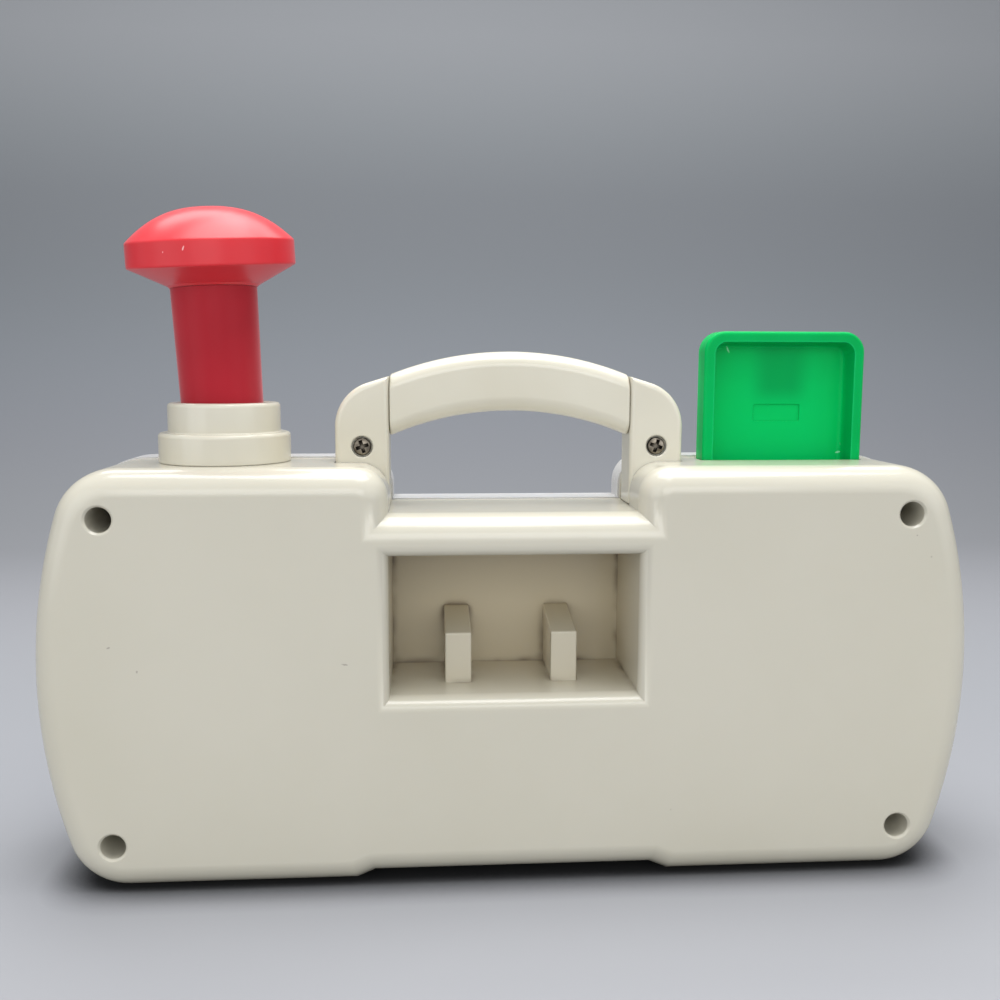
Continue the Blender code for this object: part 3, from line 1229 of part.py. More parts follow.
def build_cassette():
    """The clear window over the well, and the two reels that spin on the spindles behind it."""
    half, low, high = WELL_HALF_WIDTH - CLEARANCE, WELL_BOTTOM + CLEARANCE, WELL_TOP - CLEARANCE
    outline = rounded_rectangle(half, low, high, WELL_CORNER_RADIUS - CLEARANCE)
    window_front = FACE_INSET - WINDOW_SINK
    window_back = window_front - WINDOW_THICKNESS
    pane = extruded("cassette_window", outline, place(window_front), place(window_back))
    window = make_part("cassette_window", pane, "smoke_window")
    disc_back = WELL_FLOOR_INSET + CLEARANCE
    hub_front = FACE_INSET + REEL_HUB_PROUD
    disc_top = REEL_DISC
    hub_top = hub_front - disc_back
    bore = SPINDLE_RADIUS + RUNNING
    edge = KEY_EDGE_RADIUS
    profile = [
        (bore, hub_top),
        (REEL_HUB_RADIUS - edge, hub_top),
        (REEL_HUB_RADIUS, hub_top - edge),
        (REEL_HUB_RADIUS, disc_top),
        (REEL_RADIUS, disc_top),
        (REEL_RADIUS, 0),
        (bore, 0),
    ]
    for side, word in ((-1, "left"), (1, "right")):
        x = side * REEL_X
        hole = (window_back - OVERRUN, window_front + OVERRUN)
        cut(window, rod_inward(f"window_hole_{word}", WINDOW_HOLE_RADIUS, x, REEL_Z, hole, ROUND_SIDES))
        origin = (x, place(disc_back), REEL_Z)
        reel = turned(f"tape_reel_{word}", profile, origin, "orange_reel", ROUND_SIDES, True, True)
        for i in range(REEL_LOBES):
            notch = reel_notch(f"reel_notch_{word}_{i}", x, 2 * math.pi * i / REEL_LOBES, hub_front)
            cut(reel, notch)
        attach(axis_empty(f"reel_axis_{word}", (x, place(FACE_INSET), REEL_Z)), reel)


def reel_notch(name, x, angle, hub_front):
    """A slot across the edge of a reel's hub, for a fingertip."""
    mesh = block(
        name,
        (REEL_HUB_RADIUS - REEL_LOBE_DEPTH, REEL_HUB_RADIUS + OVERRUN),
        (hub_front - REEL_LOBE_DEPTH, hub_front + OVERRUN),
        (-REEL_LOBE_WIDTH / 2, REEL_LOBE_WIDTH / 2),
    )
    mesh.transform(Matrix.Translation((x, 0, REEL_Z)) @ Matrix.Rotation(angle, 4, "Y"))
    return mesh


def key_outline():
    """A key seen from the side: its cap in the opening, its arm, and the hub on the rod."""
    front, cap_back = place(FACE_INSET + KEY_PROUD), place(FACE_INSET + KEY_PROUD - KEY_CAP_DEPTH)
    rod_y = place(KEY_ROD_INSET)
    radius = KEY_CORNER_RADIUS
    quarter = math.pi / 2
    arm_half = KEY_ARM_THICKNESS / 2
    bend = math.asin(arm_half / KEY_HUB_RADIUS)
    points = [(front, KEY_BOTTOM), (cap_back, KEY_BOTTOM), (cap_back, KEY_ROD_Z - arm_half)]
    points += arc((rod_y, KEY_ROD_Z), KEY_HUB_RADIUS, -2 * quarter + bend, 2 * quarter - bend, 12)
    points += [(cap_back, KEY_ROD_Z + arm_half), (cap_back, KEY_TOP)]
    points += arc((front + radius, KEY_TOP - radius), radius, quarter, 2 * quarter, 3)
    return points


def key_rod_solid(name, radius, extra=0):
    reach = KEY_OPENING_HALF + EAR_THICKNESS + extra
    y = place(KEY_ROD_INSET)
    return rod(name, radius, (-reach, y, KEY_ROD_Z), (reach, y, KEY_ROD_Z), SMALL_SIDES)


def build_keys():
    make_part("key_rod", key_rod_solid("key_rod", KEY_ROD_RADIUS), "rod_steel")
    finishes = ("red_knob", "yellow_dial", "blue_grille")
    for i, (name, finish) in enumerate(zip(KEY_NAMES, finishes)):
        x = (i - 1) * KEY_SPACING
        sides = (x - KEY_WIDTH / 2, x + KEY_WIDTH / 2)
        solid = extruded(name, key_outline(), *sides, axis="X")
        front_y = place(FACE_INSET)

        def cap_edge(start, end, ends=sides, limit=front_y):
            on_side = any(abs(start.x - e) < WELD and abs(end.x - e) < WELD for e in ends)
            return on_side and max(start.y, end.y) < limit

        round_edges(solid, KEY_EDGE_RADIUS, 1, cap_edge)
        key = make_part(name, solid, finish)
        bore_x = (sides[0] - OVERRUN, sides[1] + OVERRUN)
        y = place(KEY_ROD_INSET)
        start, end = (bore_x[0], y, KEY_ROD_Z), (bore_x[1], y, KEY_ROD_Z)
        cut(key, rod(f"{name}_bore", KEY_ROD_RADIUS + RUNNING, start, end, SMALL_SIDES))
        attach(axis_empty(f"{name}_axis", (x, y, KEY_ROD_Z)), key)
        build_key_spring(f"{name}_spring", x)


def build_key_spring(name, x):
    """A coil between the floor of the case and the arm of a key."""
    floor = WALL + ARCH_RISE
    low = floor + CLEARANCE + SPRING_WIRE
    high = KEY_ARM_BOTTOM - CLEARANCE - SPRING_WIRE
    count = SPRING_CURLS * SPRING_POINTS + 1
    coil_radius = SPRING_RADIUS - SPRING_WIRE
    curve = bpy.data.curves.new(name, "CURVE")
    curve.dimensions = "3D"
    curve.bevel_depth = SPRING_WIRE
    curve.bevel_resolution = 1
    curve.use_fill_caps = True
    spline = curve.splines.new("POLY")
    spline.points.add(count - 1)
    y = place(SPRING_INSET)
    for i, point in enumerate(spline.points):
        turn = 2 * math.pi * i / SPRING_POINTS
        height = low + (high - low) * i / (count - 1)
        point.co = (x + coil_radius * math.cos(turn), y + coil_radius * math.sin(turn), height, 1)
    spring = bpy.data.objects.new(name, curve)
    curve.materials.append(finish_material("rod_steel"))
    collection("toy_boom_box").objects.link(spring)
    gap = (high - low) / SPRING_CURLS - 2 * SPRING_WIRE
    print(f"{name}: least gap between curls {gap / MM:.2f} mm")


def main():
    clear_scene()
    back_shell = build_back_shell()
    build_guide_bosses(back_shell)
    build_front_shell()
    build_case_screws()
    for side, word in ((-1, "left"), (1, "right")):
        build_handle_post(side, f"handle_post_{word}")
    build_post_screws()
    build_grip()
    build_collar()
    build_plunger()
    build_squeaker()
    build_card_guide()
    build_card()
    build_dial()
    build_click_finger()
    build_grille()
    build_cassette()
    build_keys()
    bpy.context.view_layer.update()


main()
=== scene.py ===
import math

import bmesh
import bpy
from mathutils import Matrix, Vector


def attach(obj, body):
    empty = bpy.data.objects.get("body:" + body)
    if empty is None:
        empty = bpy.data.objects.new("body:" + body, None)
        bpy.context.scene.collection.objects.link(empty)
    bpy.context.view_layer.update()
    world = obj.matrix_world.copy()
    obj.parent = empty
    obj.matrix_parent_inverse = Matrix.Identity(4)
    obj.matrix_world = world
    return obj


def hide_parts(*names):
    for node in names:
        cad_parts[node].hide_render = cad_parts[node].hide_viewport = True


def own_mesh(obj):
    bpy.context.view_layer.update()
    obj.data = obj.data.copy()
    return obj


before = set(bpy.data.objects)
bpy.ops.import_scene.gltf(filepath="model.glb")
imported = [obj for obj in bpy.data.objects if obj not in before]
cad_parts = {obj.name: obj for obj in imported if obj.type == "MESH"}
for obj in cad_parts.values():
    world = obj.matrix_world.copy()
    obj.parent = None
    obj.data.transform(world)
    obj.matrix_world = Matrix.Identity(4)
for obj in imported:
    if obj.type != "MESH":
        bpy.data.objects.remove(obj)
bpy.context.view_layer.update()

mm = 0.001
backFace = 34.05        # Y of the back face in mm; depths run from it towards the play face
play = 0.3              # the gap where two pieces meet
fit = 0.12              # the gap round a screw or a shaft in its hole
past = 4                # how far a cutter reaches past the surface that it cuts
sides = (-1, 1)
scene = bpy.context.scene
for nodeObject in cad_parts.values():
    nodeObject.data.materials.clear()


def linearColour(code):
    parts = [int(code[i:i + 2], 16) / 255 for i in (1, 3, 5)]
    return tuple(p / 12.92 if p <= 0.04045 else ((p + 0.055) / 1.055) ** 2.4 for p in parts) + (1,)


def spot(x, depth, z):      # a place in mm, given by its depth into the case
    return Vector((x, backFace - depth, z)) * mm


def rounded(corners, steps=8, closed=True):
    # corners are (a, b) or (a, b, radius); a radius rounds that corner
    points = []
    for i, corner in enumerate(corners):
        here = Vector(corner[:2])
        radius = corner[2] if len(corner) > 2 else 0
        if not radius or (not closed and i in (0, len(corners) - 1)):
            points.append(tuple(here))
            continue
        before = (Vector(corners[i - 1][:2]) - here).normalized()
        after = (Vector(corners[(i + 1) % len(corners)][:2]) - here).normalized()
        half = before.angle(after) / 2
        centre = here + (before + after).normalized() * radius / math.sin(half)
        start = here + before * radius / math.tan(half) - centre
        end = here + after * radius / math.tan(half) - centre
        start, end = start.normalized(), end.normalized()
        points += [tuple(centre + start.slerp(end, k / steps) * radius) for k in range(steps + 1)]
    return points


def arcPoints(centre, radius, start, end, steps):
    turns = [start + (end - start) * k / steps for k in range(steps + 1)]
    return [(centre[0] + radius * math.cos(t), centre[1] + radius * math.sin(t)) for t in turns]


def roundRim(bm, level, radius, steps, along=1):
    edges = [e for e in bm.edges if all(abs(v.co[along] - level) < 1e-6 for v in e.verts)]
    bmesh.ops.bevel(bm, geom=edges, offset=radius * mm, segments=steps, profile=0.5,
                    affect="EDGES", material=-1, clamp_overlap=False)


def outward(bm):
    bmesh.ops.recalc_face_normals(bm, faces=bm.faces)
    return bm


def addRing(bm, points, capped):        # a closed ring of edges, filled where it ends the shape
    verts = [bm.verts.new(point) for point in points]
    edges = [bm.edges.new((verts[k - 1], verts[k])) for k in range(len(verts))]
    if capped:
        bm.faces.new(verts)
    return edges


def skinned(bm, rings):
    for first, second in zip(rings, rings[1:]):
        bmesh.ops.bridge_loops(bm, edges=first + second)
    return outward(bm)


def thickened(points, step):        # a flat outline made solid by a copy of it one step away
    bm = bmesh.new()
    face = bm.faces.new([bm.verts.new(point) for point in points])
    made = bmesh.ops.extrude_face_region(bm, geom=[face])["geom"]
    bmesh.ops.translate(bm, verts=[v for v in made if isinstance(v, bmesh.types.BMVert)], vec=step)
    return bm


def plate(outline, near, far, nearRim=0, farRim=0, steps=8):
    # an outline in X and Z, made as thick as from one depth to another
    bm = thickened([spot(x, near, z) for x, z in outline], spot(0, far, 0) - spot(0, near, 0))
    for depth, radius in ((near, nearRim), (far, farRim)):
        if radius:
            roundRim(bm, spot(0, depth, 0).y, radius, steps)
    bmesh.ops.remove_doubles(bm, verts=bm.verts, dist=1e-7)
    return outward(bm)


def sidePlate(outline, left, right, rim=0, steps=3):
    # an outline in depth and Z, made as wide as from one X to another
    bm = thickened([spot(left, depth, z) for depth, z in outline], ((right - left) * mm, 0, 0))
    if rim:
        for level in (left, right):
            roundRim(bm, level * mm, rim, steps, along=0)
    return outward(bm)


def brick(xs, depths, zs):
    bm = bmesh.new()
    bmesh.ops.create_cube(bm, size=1)
    low, high = spot(xs[0], depths[1], zs[0]), spot(xs[1], depths[0], zs[1])
    bmesh.ops.scale(bm, vec=high - low, verts=bm.verts)
    bmesh.ops.translate(bm, vec=(low + high) / 2, verts=bm.verts)
    return bm


def turned(bm, angle, axis, about=(0, 0, 0), to=(0, 0, 0)):
    bmesh.ops.rotate(bm, verts=bm.verts, cent=about, matrix=Matrix.Rotation(angle, 3, axis))
    bmesh.ops.translate(bm, verts=bm.verts, vec=to)
    return bm


def spun(profile, centre=(0, 0, 0), ring=False, forward=False, steps=96):
    # a profile of radius and height in mm, turned about an upright axis or one to the front
    bm = bmesh.new()
    verts = [bm.verts.new((radius * mm, 0, height * mm)) for radius, height in profile]
    pairs = list(zip(verts, verts[1:])) + ([(verts[-1], verts[0])] if ring else [])
    edges = [bm.edges.new(pair) for pair in pairs]
    bmesh.ops.spin(bm, geom=verts + edges, cent=(0, 0, 0), axis=(0, 0, 1),
                   angle=2 * math.pi, steps=steps, use_merge=True)
    bmesh.ops.remove_doubles(bm, verts=bm.verts, dist=2e-6)
    outward(bm)
    if forward:
        turned(bm, math.pi / 2, "X")
    bmesh.ops.translate(bm, verts=bm.verts, vec=centre)
    return bm


def peg(radius, x, z, depths, steps=48):    # a round bar that runs into the case
    length = depths[1] - depths[0]
    return spun([(0, length), (radius, length), (radius, 0), (0, 0)],
                spot(x, depths[0], z), forward=True, steps=steps)


def upright(radius, x, depth, zs, steps=64):
    return spun([(0, zs[1]), (radius, zs[1]), (radius, zs[0]), (0, zs[0])],
                spot(x, depth, 0), steps=steps)


def crossBar(radius, start, end, place, steps=24):      # a round bar along X
    bar = spun([(0, end), (radius, end), (radius, start), (0, start)], steps=steps)
    return turned(bar, math.pi / 2, "Y", to=place)


def merged(*shapes):        # several separate shapes in one bmesh
    bm = bmesh.new()
    for shape in shapes:
        mesh = bpy.data.meshes.new("part")
        shape.to_mesh(mesh)
        shape.free()
        bm.from_mesh(mesh)
        bpy.data.meshes.remove(mesh)
    return bm


def combine(bm, tool, operation="DIFFERENCE"):
    # cuts the tool from a closed shape, or joins it on, and gives the new shape
    objects = []
    for shape in (bm, tool):
        mesh = bpy.data.meshes.new("shape")
        shape.to_mesh(mesh)
        shape.free()
        objects.append(bpy.data.objects.new("shape", mesh))
        scene.collection.objects.link(objects[-1])
    modifier = objects[0].modifiers.new("Combine", "BOOLEAN")
    modifier.operation, modifier.object, modifier.solver = operation, objects[1], "EXACT"
    made = bpy.data.meshes.new_from_object(objects[0].evaluated_get(bpy.context.evaluated_depsgraph_get()))
    result = bmesh.new()
    result.from_mesh(made)
    bmesh.ops.remove_doubles(result, verts=result.verts, dist=1e-7)
    for each in [made] + [o.data for o in objects]:
        bpy.data.meshes.remove(each)
    return result


def finishPiece(name, bm, finish, body, replaced):
    mesh = bpy.data.meshes.new(name)
    bm.to_mesh(mesh)
    bm.free()
    mesh.materials.append(finishes[finish])
    mesh.shade_smooth()
    mesh.set_sharp_from_angle(angle=math.radians(32))
    piece = bpy.data.objects.new(name, mesh)
    scene.collection.objects.link(piece)
    weighted = piece.modifiers.new("Flat faces stay flat", "WEIGHTED_NORMAL")
    weighted.keep_sharp = True
    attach(piece, body)
    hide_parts(*replaced)
    return piece


def feed(tree, node, inputs):       # links each socket that is given, and sets each plain value
    for socket, value in inputs.items():
        if isinstance(value, bpy.types.NodeSocket):
            tree.links.new(value, node.inputs[socket])
        else:
            node.inputs[socket].default_value = value


def addNode(tree, kind, inputs=None, **settings):
    node = tree.nodes.new("ShaderNode" + kind)
    for name, value in settings.items():
        setattr(node, name, value)
    feed(tree, node, inputs or {})
    return node


def fade(tree, value, start, end, low=0.0, high=1.0, **settings):
    # runs from low to high while the value runs from start to end
    return addNode(tree, "MapRange", {"Value": value, "From Min": start, "From Max": end,
                                      "To Min": low, "To Max": high}, **settings).outputs["Result"]


def blend(tree, share, first, second, **settings):      # of two colours, each a socket or a code
    first, second = [linearColour(c) if isinstance(c, str) else c for c in (first, second)]
    return addNode(tree, "Mix", {"Factor": share, 6: first, 7: second}, data_type="RGBA",
                   **settings).outputs[2]


def calc(tree, operation, *values):
    return addNode(tree, "Math", dict(enumerate(values)), operation=operation).outputs["Value"]


def noise(tree, place, size, detail):       # soft patches about as wide as size, in mm
    return addNode(tree, "TexNoise", {"Vector": place, "Scale": 1 / (size * mm),
                                      "Detail": detail}).outputs["Fac"]


def bump(tree, height, depth, strength, normal=None, **settings):
    inputs = {"Height": height, "Distance": depth * mm, "Strength": strength}
    if normal:
        inputs["Normal"] = normal
    return addNode(tree, "Bump", inputs, **settings).outputs["Normal"]


def newMaterial(name):
    material = bpy.data.materials.new(name)
    material.use_nodes = True
    tree = material.node_tree
    place = addNode(tree, "TexCoord").outputs["Object"]
    return material, tree, tree.nodes["Principled BSDF"], place


# Sizes are in mm: tone is the width of the broad colour drift, peel the moulded skin's ripple,
# line the width of the fine scratches and speck the distance between bits of dirt. shine is the
# share of a plain gloss, shadeAndGrime how dark tight corners get with painted shade and brown
# grime, lit how much paler thin edges are, bloom the waxy haze at a slant, glow how much light
# sinks in, and deep how far its red, green and blue travel.
usual = dict(shine=0.5, line=0.4, speck=18, shadeAndGrime=0.3, lit=0, bloom=0)
plastics = {
    # ABS, injection moulded and polished: crisp soft highlights, yellowed where no hand rubs it, and inside
    # the strap pocket also tinted with painted warm bounced light
    "creamABS": dict(colour="#C3BFB0", stain="#BFBBAB", rough=0.17, tone=70, peel=3.0, line=0.5,
                     speck=15, shadeAndGrime=0.15, glow=0.05, deep=(1.0, 0.7, 0.45)),
    "whiteABS": dict(colour="#CBCBCB", stain="#C5C4C1", rough=0.24, tone=70, peel=3.0, line=0.5,
                     shadeAndGrime=0.2, glow=0.05, deep=(1.0, 0.7, 0.45)),
    "gripABS": dict(colour="#CECABA", stain="#C6C1AF", rough=0.16, tone=50, peel=2.6,
                    speck=16, shadeAndGrime=0.05, glow=0.06, deep=(1.0, 0.7, 0.45)),
    # polypropylene, moulded: waxy, so light sinks in and comes back pink
    "redPolypropylene": dict(colour="#D22B34", stain="#C8262F", rough=0.30, shine=0.32, tone=30,
                             peel=1.8, speck=20, shadeAndGrime=0.1, lit=0.3, edge="#FFB4B4", bloom=0.12,
                             glow=0.36, deep=(1.0, 0.28, 0.24)),
    "stemPolypropylene": dict(colour="#A81D2A", stain="#9E1925", rough=0.34, shine=0.13, tone=25,
                              peel=1.8, shadeAndGrime=0.1, bloom=0.5, glow=0.22, deep=(1.0, 0.25, 0.24)),
    # polystyrene, moulded thin: bright, and lit through at its rim
    "greenPolystyrene": dict(colour="#00A854", stain="#009E4C", rough=0.30, shine=0.06, tone=22,
                             peel=2.0, shadeAndGrime=0.1, lit=0.8, edge="#40FFB0", glow=0.20,
                             deep=(0.1, 1.0, 0.4)),
    "yellowABS": dict(colour="#E0A51E", stain="#C68E17", rough=0.24, tone=40, peel=2.4,
                      shadeAndGrime=0.35, glow=0.06, deep=(1.0, 0.6, 0.2)),
    "blueABS": dict(colour="#2C62AE", stain="#244F8E", rough=0.24, tone=40, peel=2.4,
                    glow=0.04, deep=(0.3, 0.5, 1.0)),
    "orangeABS": dict(colour="#DB5F20", stain="#BA4F1B", rough=0.24, tone=30, peel=2.0,
                      glow=0.06, deep=(1.0, 0.5, 0.2)),
    # acetal, moulded: dry and slippery looking, for the parts inside
    "whiteAcetal": dict(colour="#D9D9D4", stain="#C9C7BE", rough=0.42, tone=30, peel=1.6,
                        line=0.3, glow=0.08, deep=(1.0, 0.9, 0.8)),
}

# Small marks of use, each with its place, its half sizes and its turn about Y in degrees.
marks = {
    "redPolypropylene": dict(colour="#F0C4C4", places=(
        ((92.7, 29.6, 186.3), (0.22, 2.0, 0.85), -20), ((98.6, 27.4, 185.4), (0.16, 2.0, 0.3), 0))),
    "greenPolystyrene": dict(colour="#8FE0B4", places=(
        ((-69.9, 2.3, 159.6), (0.3, 1.2, 1.3), 25), ((-107.1, 2.3, 160.8), (0.35, 1.2, 1.6), -8),
        ((-108.3, 2.3, 128.9), (0.5, 1.2, 1.4), 35), ((-107.0, 2.3, 126.9), (0.9, 1.2, 0.35), 20))),
    "creamABS": dict(colour="#9C968C", places=(
        ((116.6, 34, 74.1), (0.7, 1.0, 0.35), 25), ((108.9, 34, 66.9), (0.35, 1.0, 0.5), 0),
        ((49.7, 34, 68.0), (1.1, 1.0, 0.3), -10), ((-119.6, 34, 104.6), (0.3, 1.0, 0.3), 0))),
}


def addMarks(tree, place, colour, look):
    breakUp = noise(tree, place, 0.5, 2.0)
    for centre, half, turn in look["places"]:
        local = addNode(tree, "Mapping", {"Vector": place, "Location": Vector(centre) * mm,
                                          "Rotation": (0, math.radians(turn), 0),
                                          "Scale": Vector(half) * mm}, vector_type="TEXTURE")
        reach = addNode(tree, "VectorMath", {0: local.outputs["Vector"]}, operation="LENGTH")
        worn = calc(tree, "ADD", reach.outputs["Value"], breakUp)
        colour = blend(tree, fade(tree, worn, 1.05, 1.5, 0.85, 0.0), colour, look["colour"])
    return colour


def softBox(tree, parts, centre, half, run):
    # 1 inside a box in X and Z, falling to 0 over a soft edge
    inside = []
    for axis, middle, reach in zip("XZ", centre, half):
        away = calc(tree, "ABSOLUTE", calc(tree, "SUBTRACT", parts[axis], middle * mm))
        inside.append(fade(tree, away, (reach - run) * mm, (reach + run) * mm, 1.0, 0.0,
                           interpolation_type="SMOOTHSTEP"))
    return calc(tree, "MULTIPLY", *inside)


def addThinWeb(tree, place, colour):
    # the card's thin floor glows with the light behind it, less at its top middle
    parts = addNode(tree, "SeparateXYZ", {"Vector": place}).outputs
    floor = fade(tree, parts["Y"], (backFace - 29) * mm, (backFace - 31.5) * mm)
    web = blend(tree, fade(tree, parts["Z"], 148 * mm, 162 * mm), "#00BC5E", "#00AE56")
    patch = calc(tree, "MULTIPLY", softBox(tree, parts, (-87.2, 154), (7.5, 9.5), 4), floor)
    return blend(tree, patch, blend(tree, floor, colour, web), "#00A150")


def addPocketShadeAndGrime(tree, place, colour, corners, patchy):
    # the strap pocket is tinted warmer inside, partly yellowed and partly painted warm bounced light, and its
    # corners are darker, partly brown grime settled out of reach and partly painted shade
    parts = addNode(tree, "SeparateXYZ", {"Vector": place}).outputs
    inside = fade(tree, parts["Y"], (backFace - 1.5) * mm, (backFace - 38) * mm)
    away = calc(tree, "ABSOLUTE", parts["X"])
    for value, edge, run in ((away, 40, 0.2), (parts["Z"], 102, 0.2), (parts["Z"], 54, -0.2)):
        near = fade(tree, value, edge * mm, (edge + run) * mm, 1.0, 0.0)
        inside = calc(tree, "MULTIPLY", inside, near)
    yellow = blend(tree, inside, colour, "#FFF5E2", blend_type="MULTIPLY")
    # painted shade in the pocket's corners, with brown grime in it
    pocketShadeAndGrime = calc(tree, "MULTIPLY", fade(tree, corners, 0.45, 0.85, 1.0, 0.0), patchy)
    return blend(tree, calc(tree, "MULTIPLY", pocketShadeAndGrime, inside), yellow, "#6E5638", blend_type="MULTIPLY")


def mouldedPlastic(name, look):
    material, tree, shader, place = newMaterial(name)
    look = {**usual, **look}
    tone, drift = noise(tree, place, look["tone"], 3.0), noise(tree, place, 14, 2.0)

    # fine scratches: noise drawn out into thin lines two ways, kept only in handled patches
    lines = []
    for turn, stretch in (((0.2, 0.6, 0.5), (0.03, 0.5, 1.0)), ((1.1, -0.75, 0.2), (1.0, 0.5, 0.04))):
        drawn = addNode(tree, "Mapping", {"Vector": place, "Rotation": turn, "Scale": stretch})
        lines.append(fade(tree, noise(tree, drawn.outputs["Vector"], look["line"], 1.0), 0.68, 0.76))
    scratched = calc(tree, "MULTIPLY", calc(tree, "MAXIMUM", *lines), fade(tree, tone, 0.42, 0.62))

    # bits of dirt: the middles of a few cells, each of its own strength
    cells = addNode(tree, "TexVoronoi", {"Vector": place, "Scale": 1 / (look["speck"] * mm)}).outputs
    chosen = addNode(tree, "SeparateColor", {"Color": cells["Color"]}).outputs["Red"]
    speck = calc(tree, "MULTIPLY", fade(tree, cells["Distance"], 0.012, 0.026, 1.0, 0.0),
                 fade(tree, chosen, 0.55, 1.0, 0.0, 0.8))

    # painted shade in tight corners, mixed with brown grime settled there, only in patches
    corners = addNode(tree, "AmbientOcclusion", {"Distance": 3 * mm}, samples=6).outputs["AO"]
    patchy = fade(tree, drift, 0.36, 0.62)
    cornerShadeAndGrime = calc(tree, "MULTIPLY", fade(tree, corners, 0.25, 0.75, look["shadeAndGrime"], 0.0), patchy)

    colour = blend(tree, fade(tree, tone, 0.35, 0.7), look["colour"], look["stain"])
    colour = blend(tree, cornerShadeAndGrime, colour, "#7A6A52", blend_type="MULTIPLY")
    colour = blend(tree, speck, colour, "#6A6054")
    if look["lit"]:         # a thin edge lets light through, so it looks paler than the flat beside it
        wide = addNode(tree, "Bevel", {"Radius": 0.9 * mm}, samples=6).outputs["Normal"]
        flat = addNode(tree, "NewGeometry").outputs["True Normal"]
        bend = addNode(tree, "VectorMath", {0: wide, 1: flat}, operation="DOT_PRODUCT").outputs["Value"]
        pale = blend(tree, 0.3, look["colour"], look["edge"])
        colour = blend(tree, fade(tree, bend, 0.8, 0.985, look["lit"], 0.0), colour, pale)
    if name == "greenPolystyrene":
        colour = addThinWeb(tree, place, colour)
    if name == "creamABS":
        colour = addPocketShadeAndGrime(tree, place, colour, corners, patchy)
    if name in marks:
        colour = addMarks(tree, place, colour, marks[name])

    gloss = fade(tree, drift, 0.0, 1.0, look["rough"] - 0.03, look["rough"] + 0.04)
    soft = addNode(tree, "Bevel", {"Radius": 0.35 * mm}, samples=4)     # moulded edges are never sharp
    skin = bump(tree, drift, 0.05, 0.5, soft.outputs["Normal"])
    skin = bump(tree, noise(tree, place, look["peel"], 1.0), 0.012, 0.6, skin)
    feed(tree, shader, {
        "Base Color": colour, "Roughness": calc(tree, "MULTIPLY_ADD", scratched, 0.06, gloss),
        "Normal": bump(tree, scratched, 0.002, 0.2, skin, invert=True), "IOR": 1.52,
        "Specular IOR Level": look["shine"], "Sheen Weight": look["bloom"], "Sheen Roughness": 0.45,
        "Sheen Tint": linearColour("#FFB8BC"), "Subsurface Weight": look["glow"],
        "Subsurface Radius": look["deep"], "Subsurface Scale": 4 * mm})
    return material


metals = {
    # steel screws with a nickel plate gone dull: grey-brown with bright worn edges
    "nickelPlatedSteel": dict(colour="#5F584E", worn="#A0988A", rough=0.34, streak=0.5),
    # drawn steel wire and rod: clean, with fine lines along it
    "drawnSteel": dict(colour="#A9A9A8", worn="#C9C9C7", rough=0.26, streak=0.4),
}


def platedMetal(name, look):
    material, tree, shader, place = newMaterial(name)
    lines = noise(tree, place, look["streak"], 2.0)
    blots = fade(tree, noise(tree, place, 2.2, 4.0), 0.35, 0.7)
    corners = addNode(tree, "AmbientOcclusion", {"Distance": 1.2 * mm}, samples=6)      # painted shade, near black, in the recess, with dirt in it
    recessShadeAndDirt = fade(tree, corners.outputs["AO"], 0.5, 0.96, 1.0, 0.0)
    soft = addNode(tree, "Bevel", {"Radius": 0.12 * mm}, samples=4).outputs["Normal"]
    feed(tree, shader, {
        "Base Color": blend(tree, recessShadeAndDirt, blend(tree, blots, look["colour"], look["worn"]), "#14110E"),
        "Roughness": fade(tree, lines, 0.0, 1.0, look["rough"] - 0.1, look["rough"] + 0.15),
        "Normal": bump(tree, lines, 0.01, 0.5, soft), "Metallic": 1.0})
    return material


def clearPolystyrene():     # moulded clear sheet with a smoky tint: sharp reflections, fine scratches
    material, tree, shader, place = newMaterial("clearPolystyrene")
    drawn = addNode(tree, "Mapping", {"Vector": place, "Rotation": (0, 0.6, 0), "Scale": (0.06, 1, 1)})
    line = fade(tree, noise(tree, drawn.outputs["Vector"], 0.5, 3.0), 0.6, 0.75)
    feed(tree, shader, {
        "Base Color": blend(tree, noise(tree, place, 12, 2.0), "#C4D2DC", "#B4C6D2"),
        "Roughness": fade(tree, line, 0.0, 1.0, 0.05, 0.3), "Normal": bump(tree, line, 0.01, 0.3),
        "Transmission Weight": 0.85, "IOR": 1.55})
    return material


def mouldedRubber():        # black moulded rubber: matt with a dusty bloom
    material, tree, shader, place = newMaterial("mouldedRubber")
    bloom = noise(tree, place, 9, 4.0)
    feed(tree, shader, {
        "Base Color": blend(tree, bloom, "#2B2A29", "#45423E"),
        "Roughness": fade(tree, bloom, 0.0, 1.0, 0.6, 0.85),
        "Normal": bump(tree, noise(tree, place, 0.5, 2.0), 0.02, 0.5), "Sheen Weight": 0.1})
    return material


finishes = {name: mouldedPlastic(name, look) for name, look in plastics.items()}
finishes.update({name: platedMetal(name, look) for name, look in metals.items()})
finishes["clearPolystyrene"] = clearPolystyrene()
finishes["mouldedRubber"] = mouldedRubber()
print("materials made:", len(finishes))


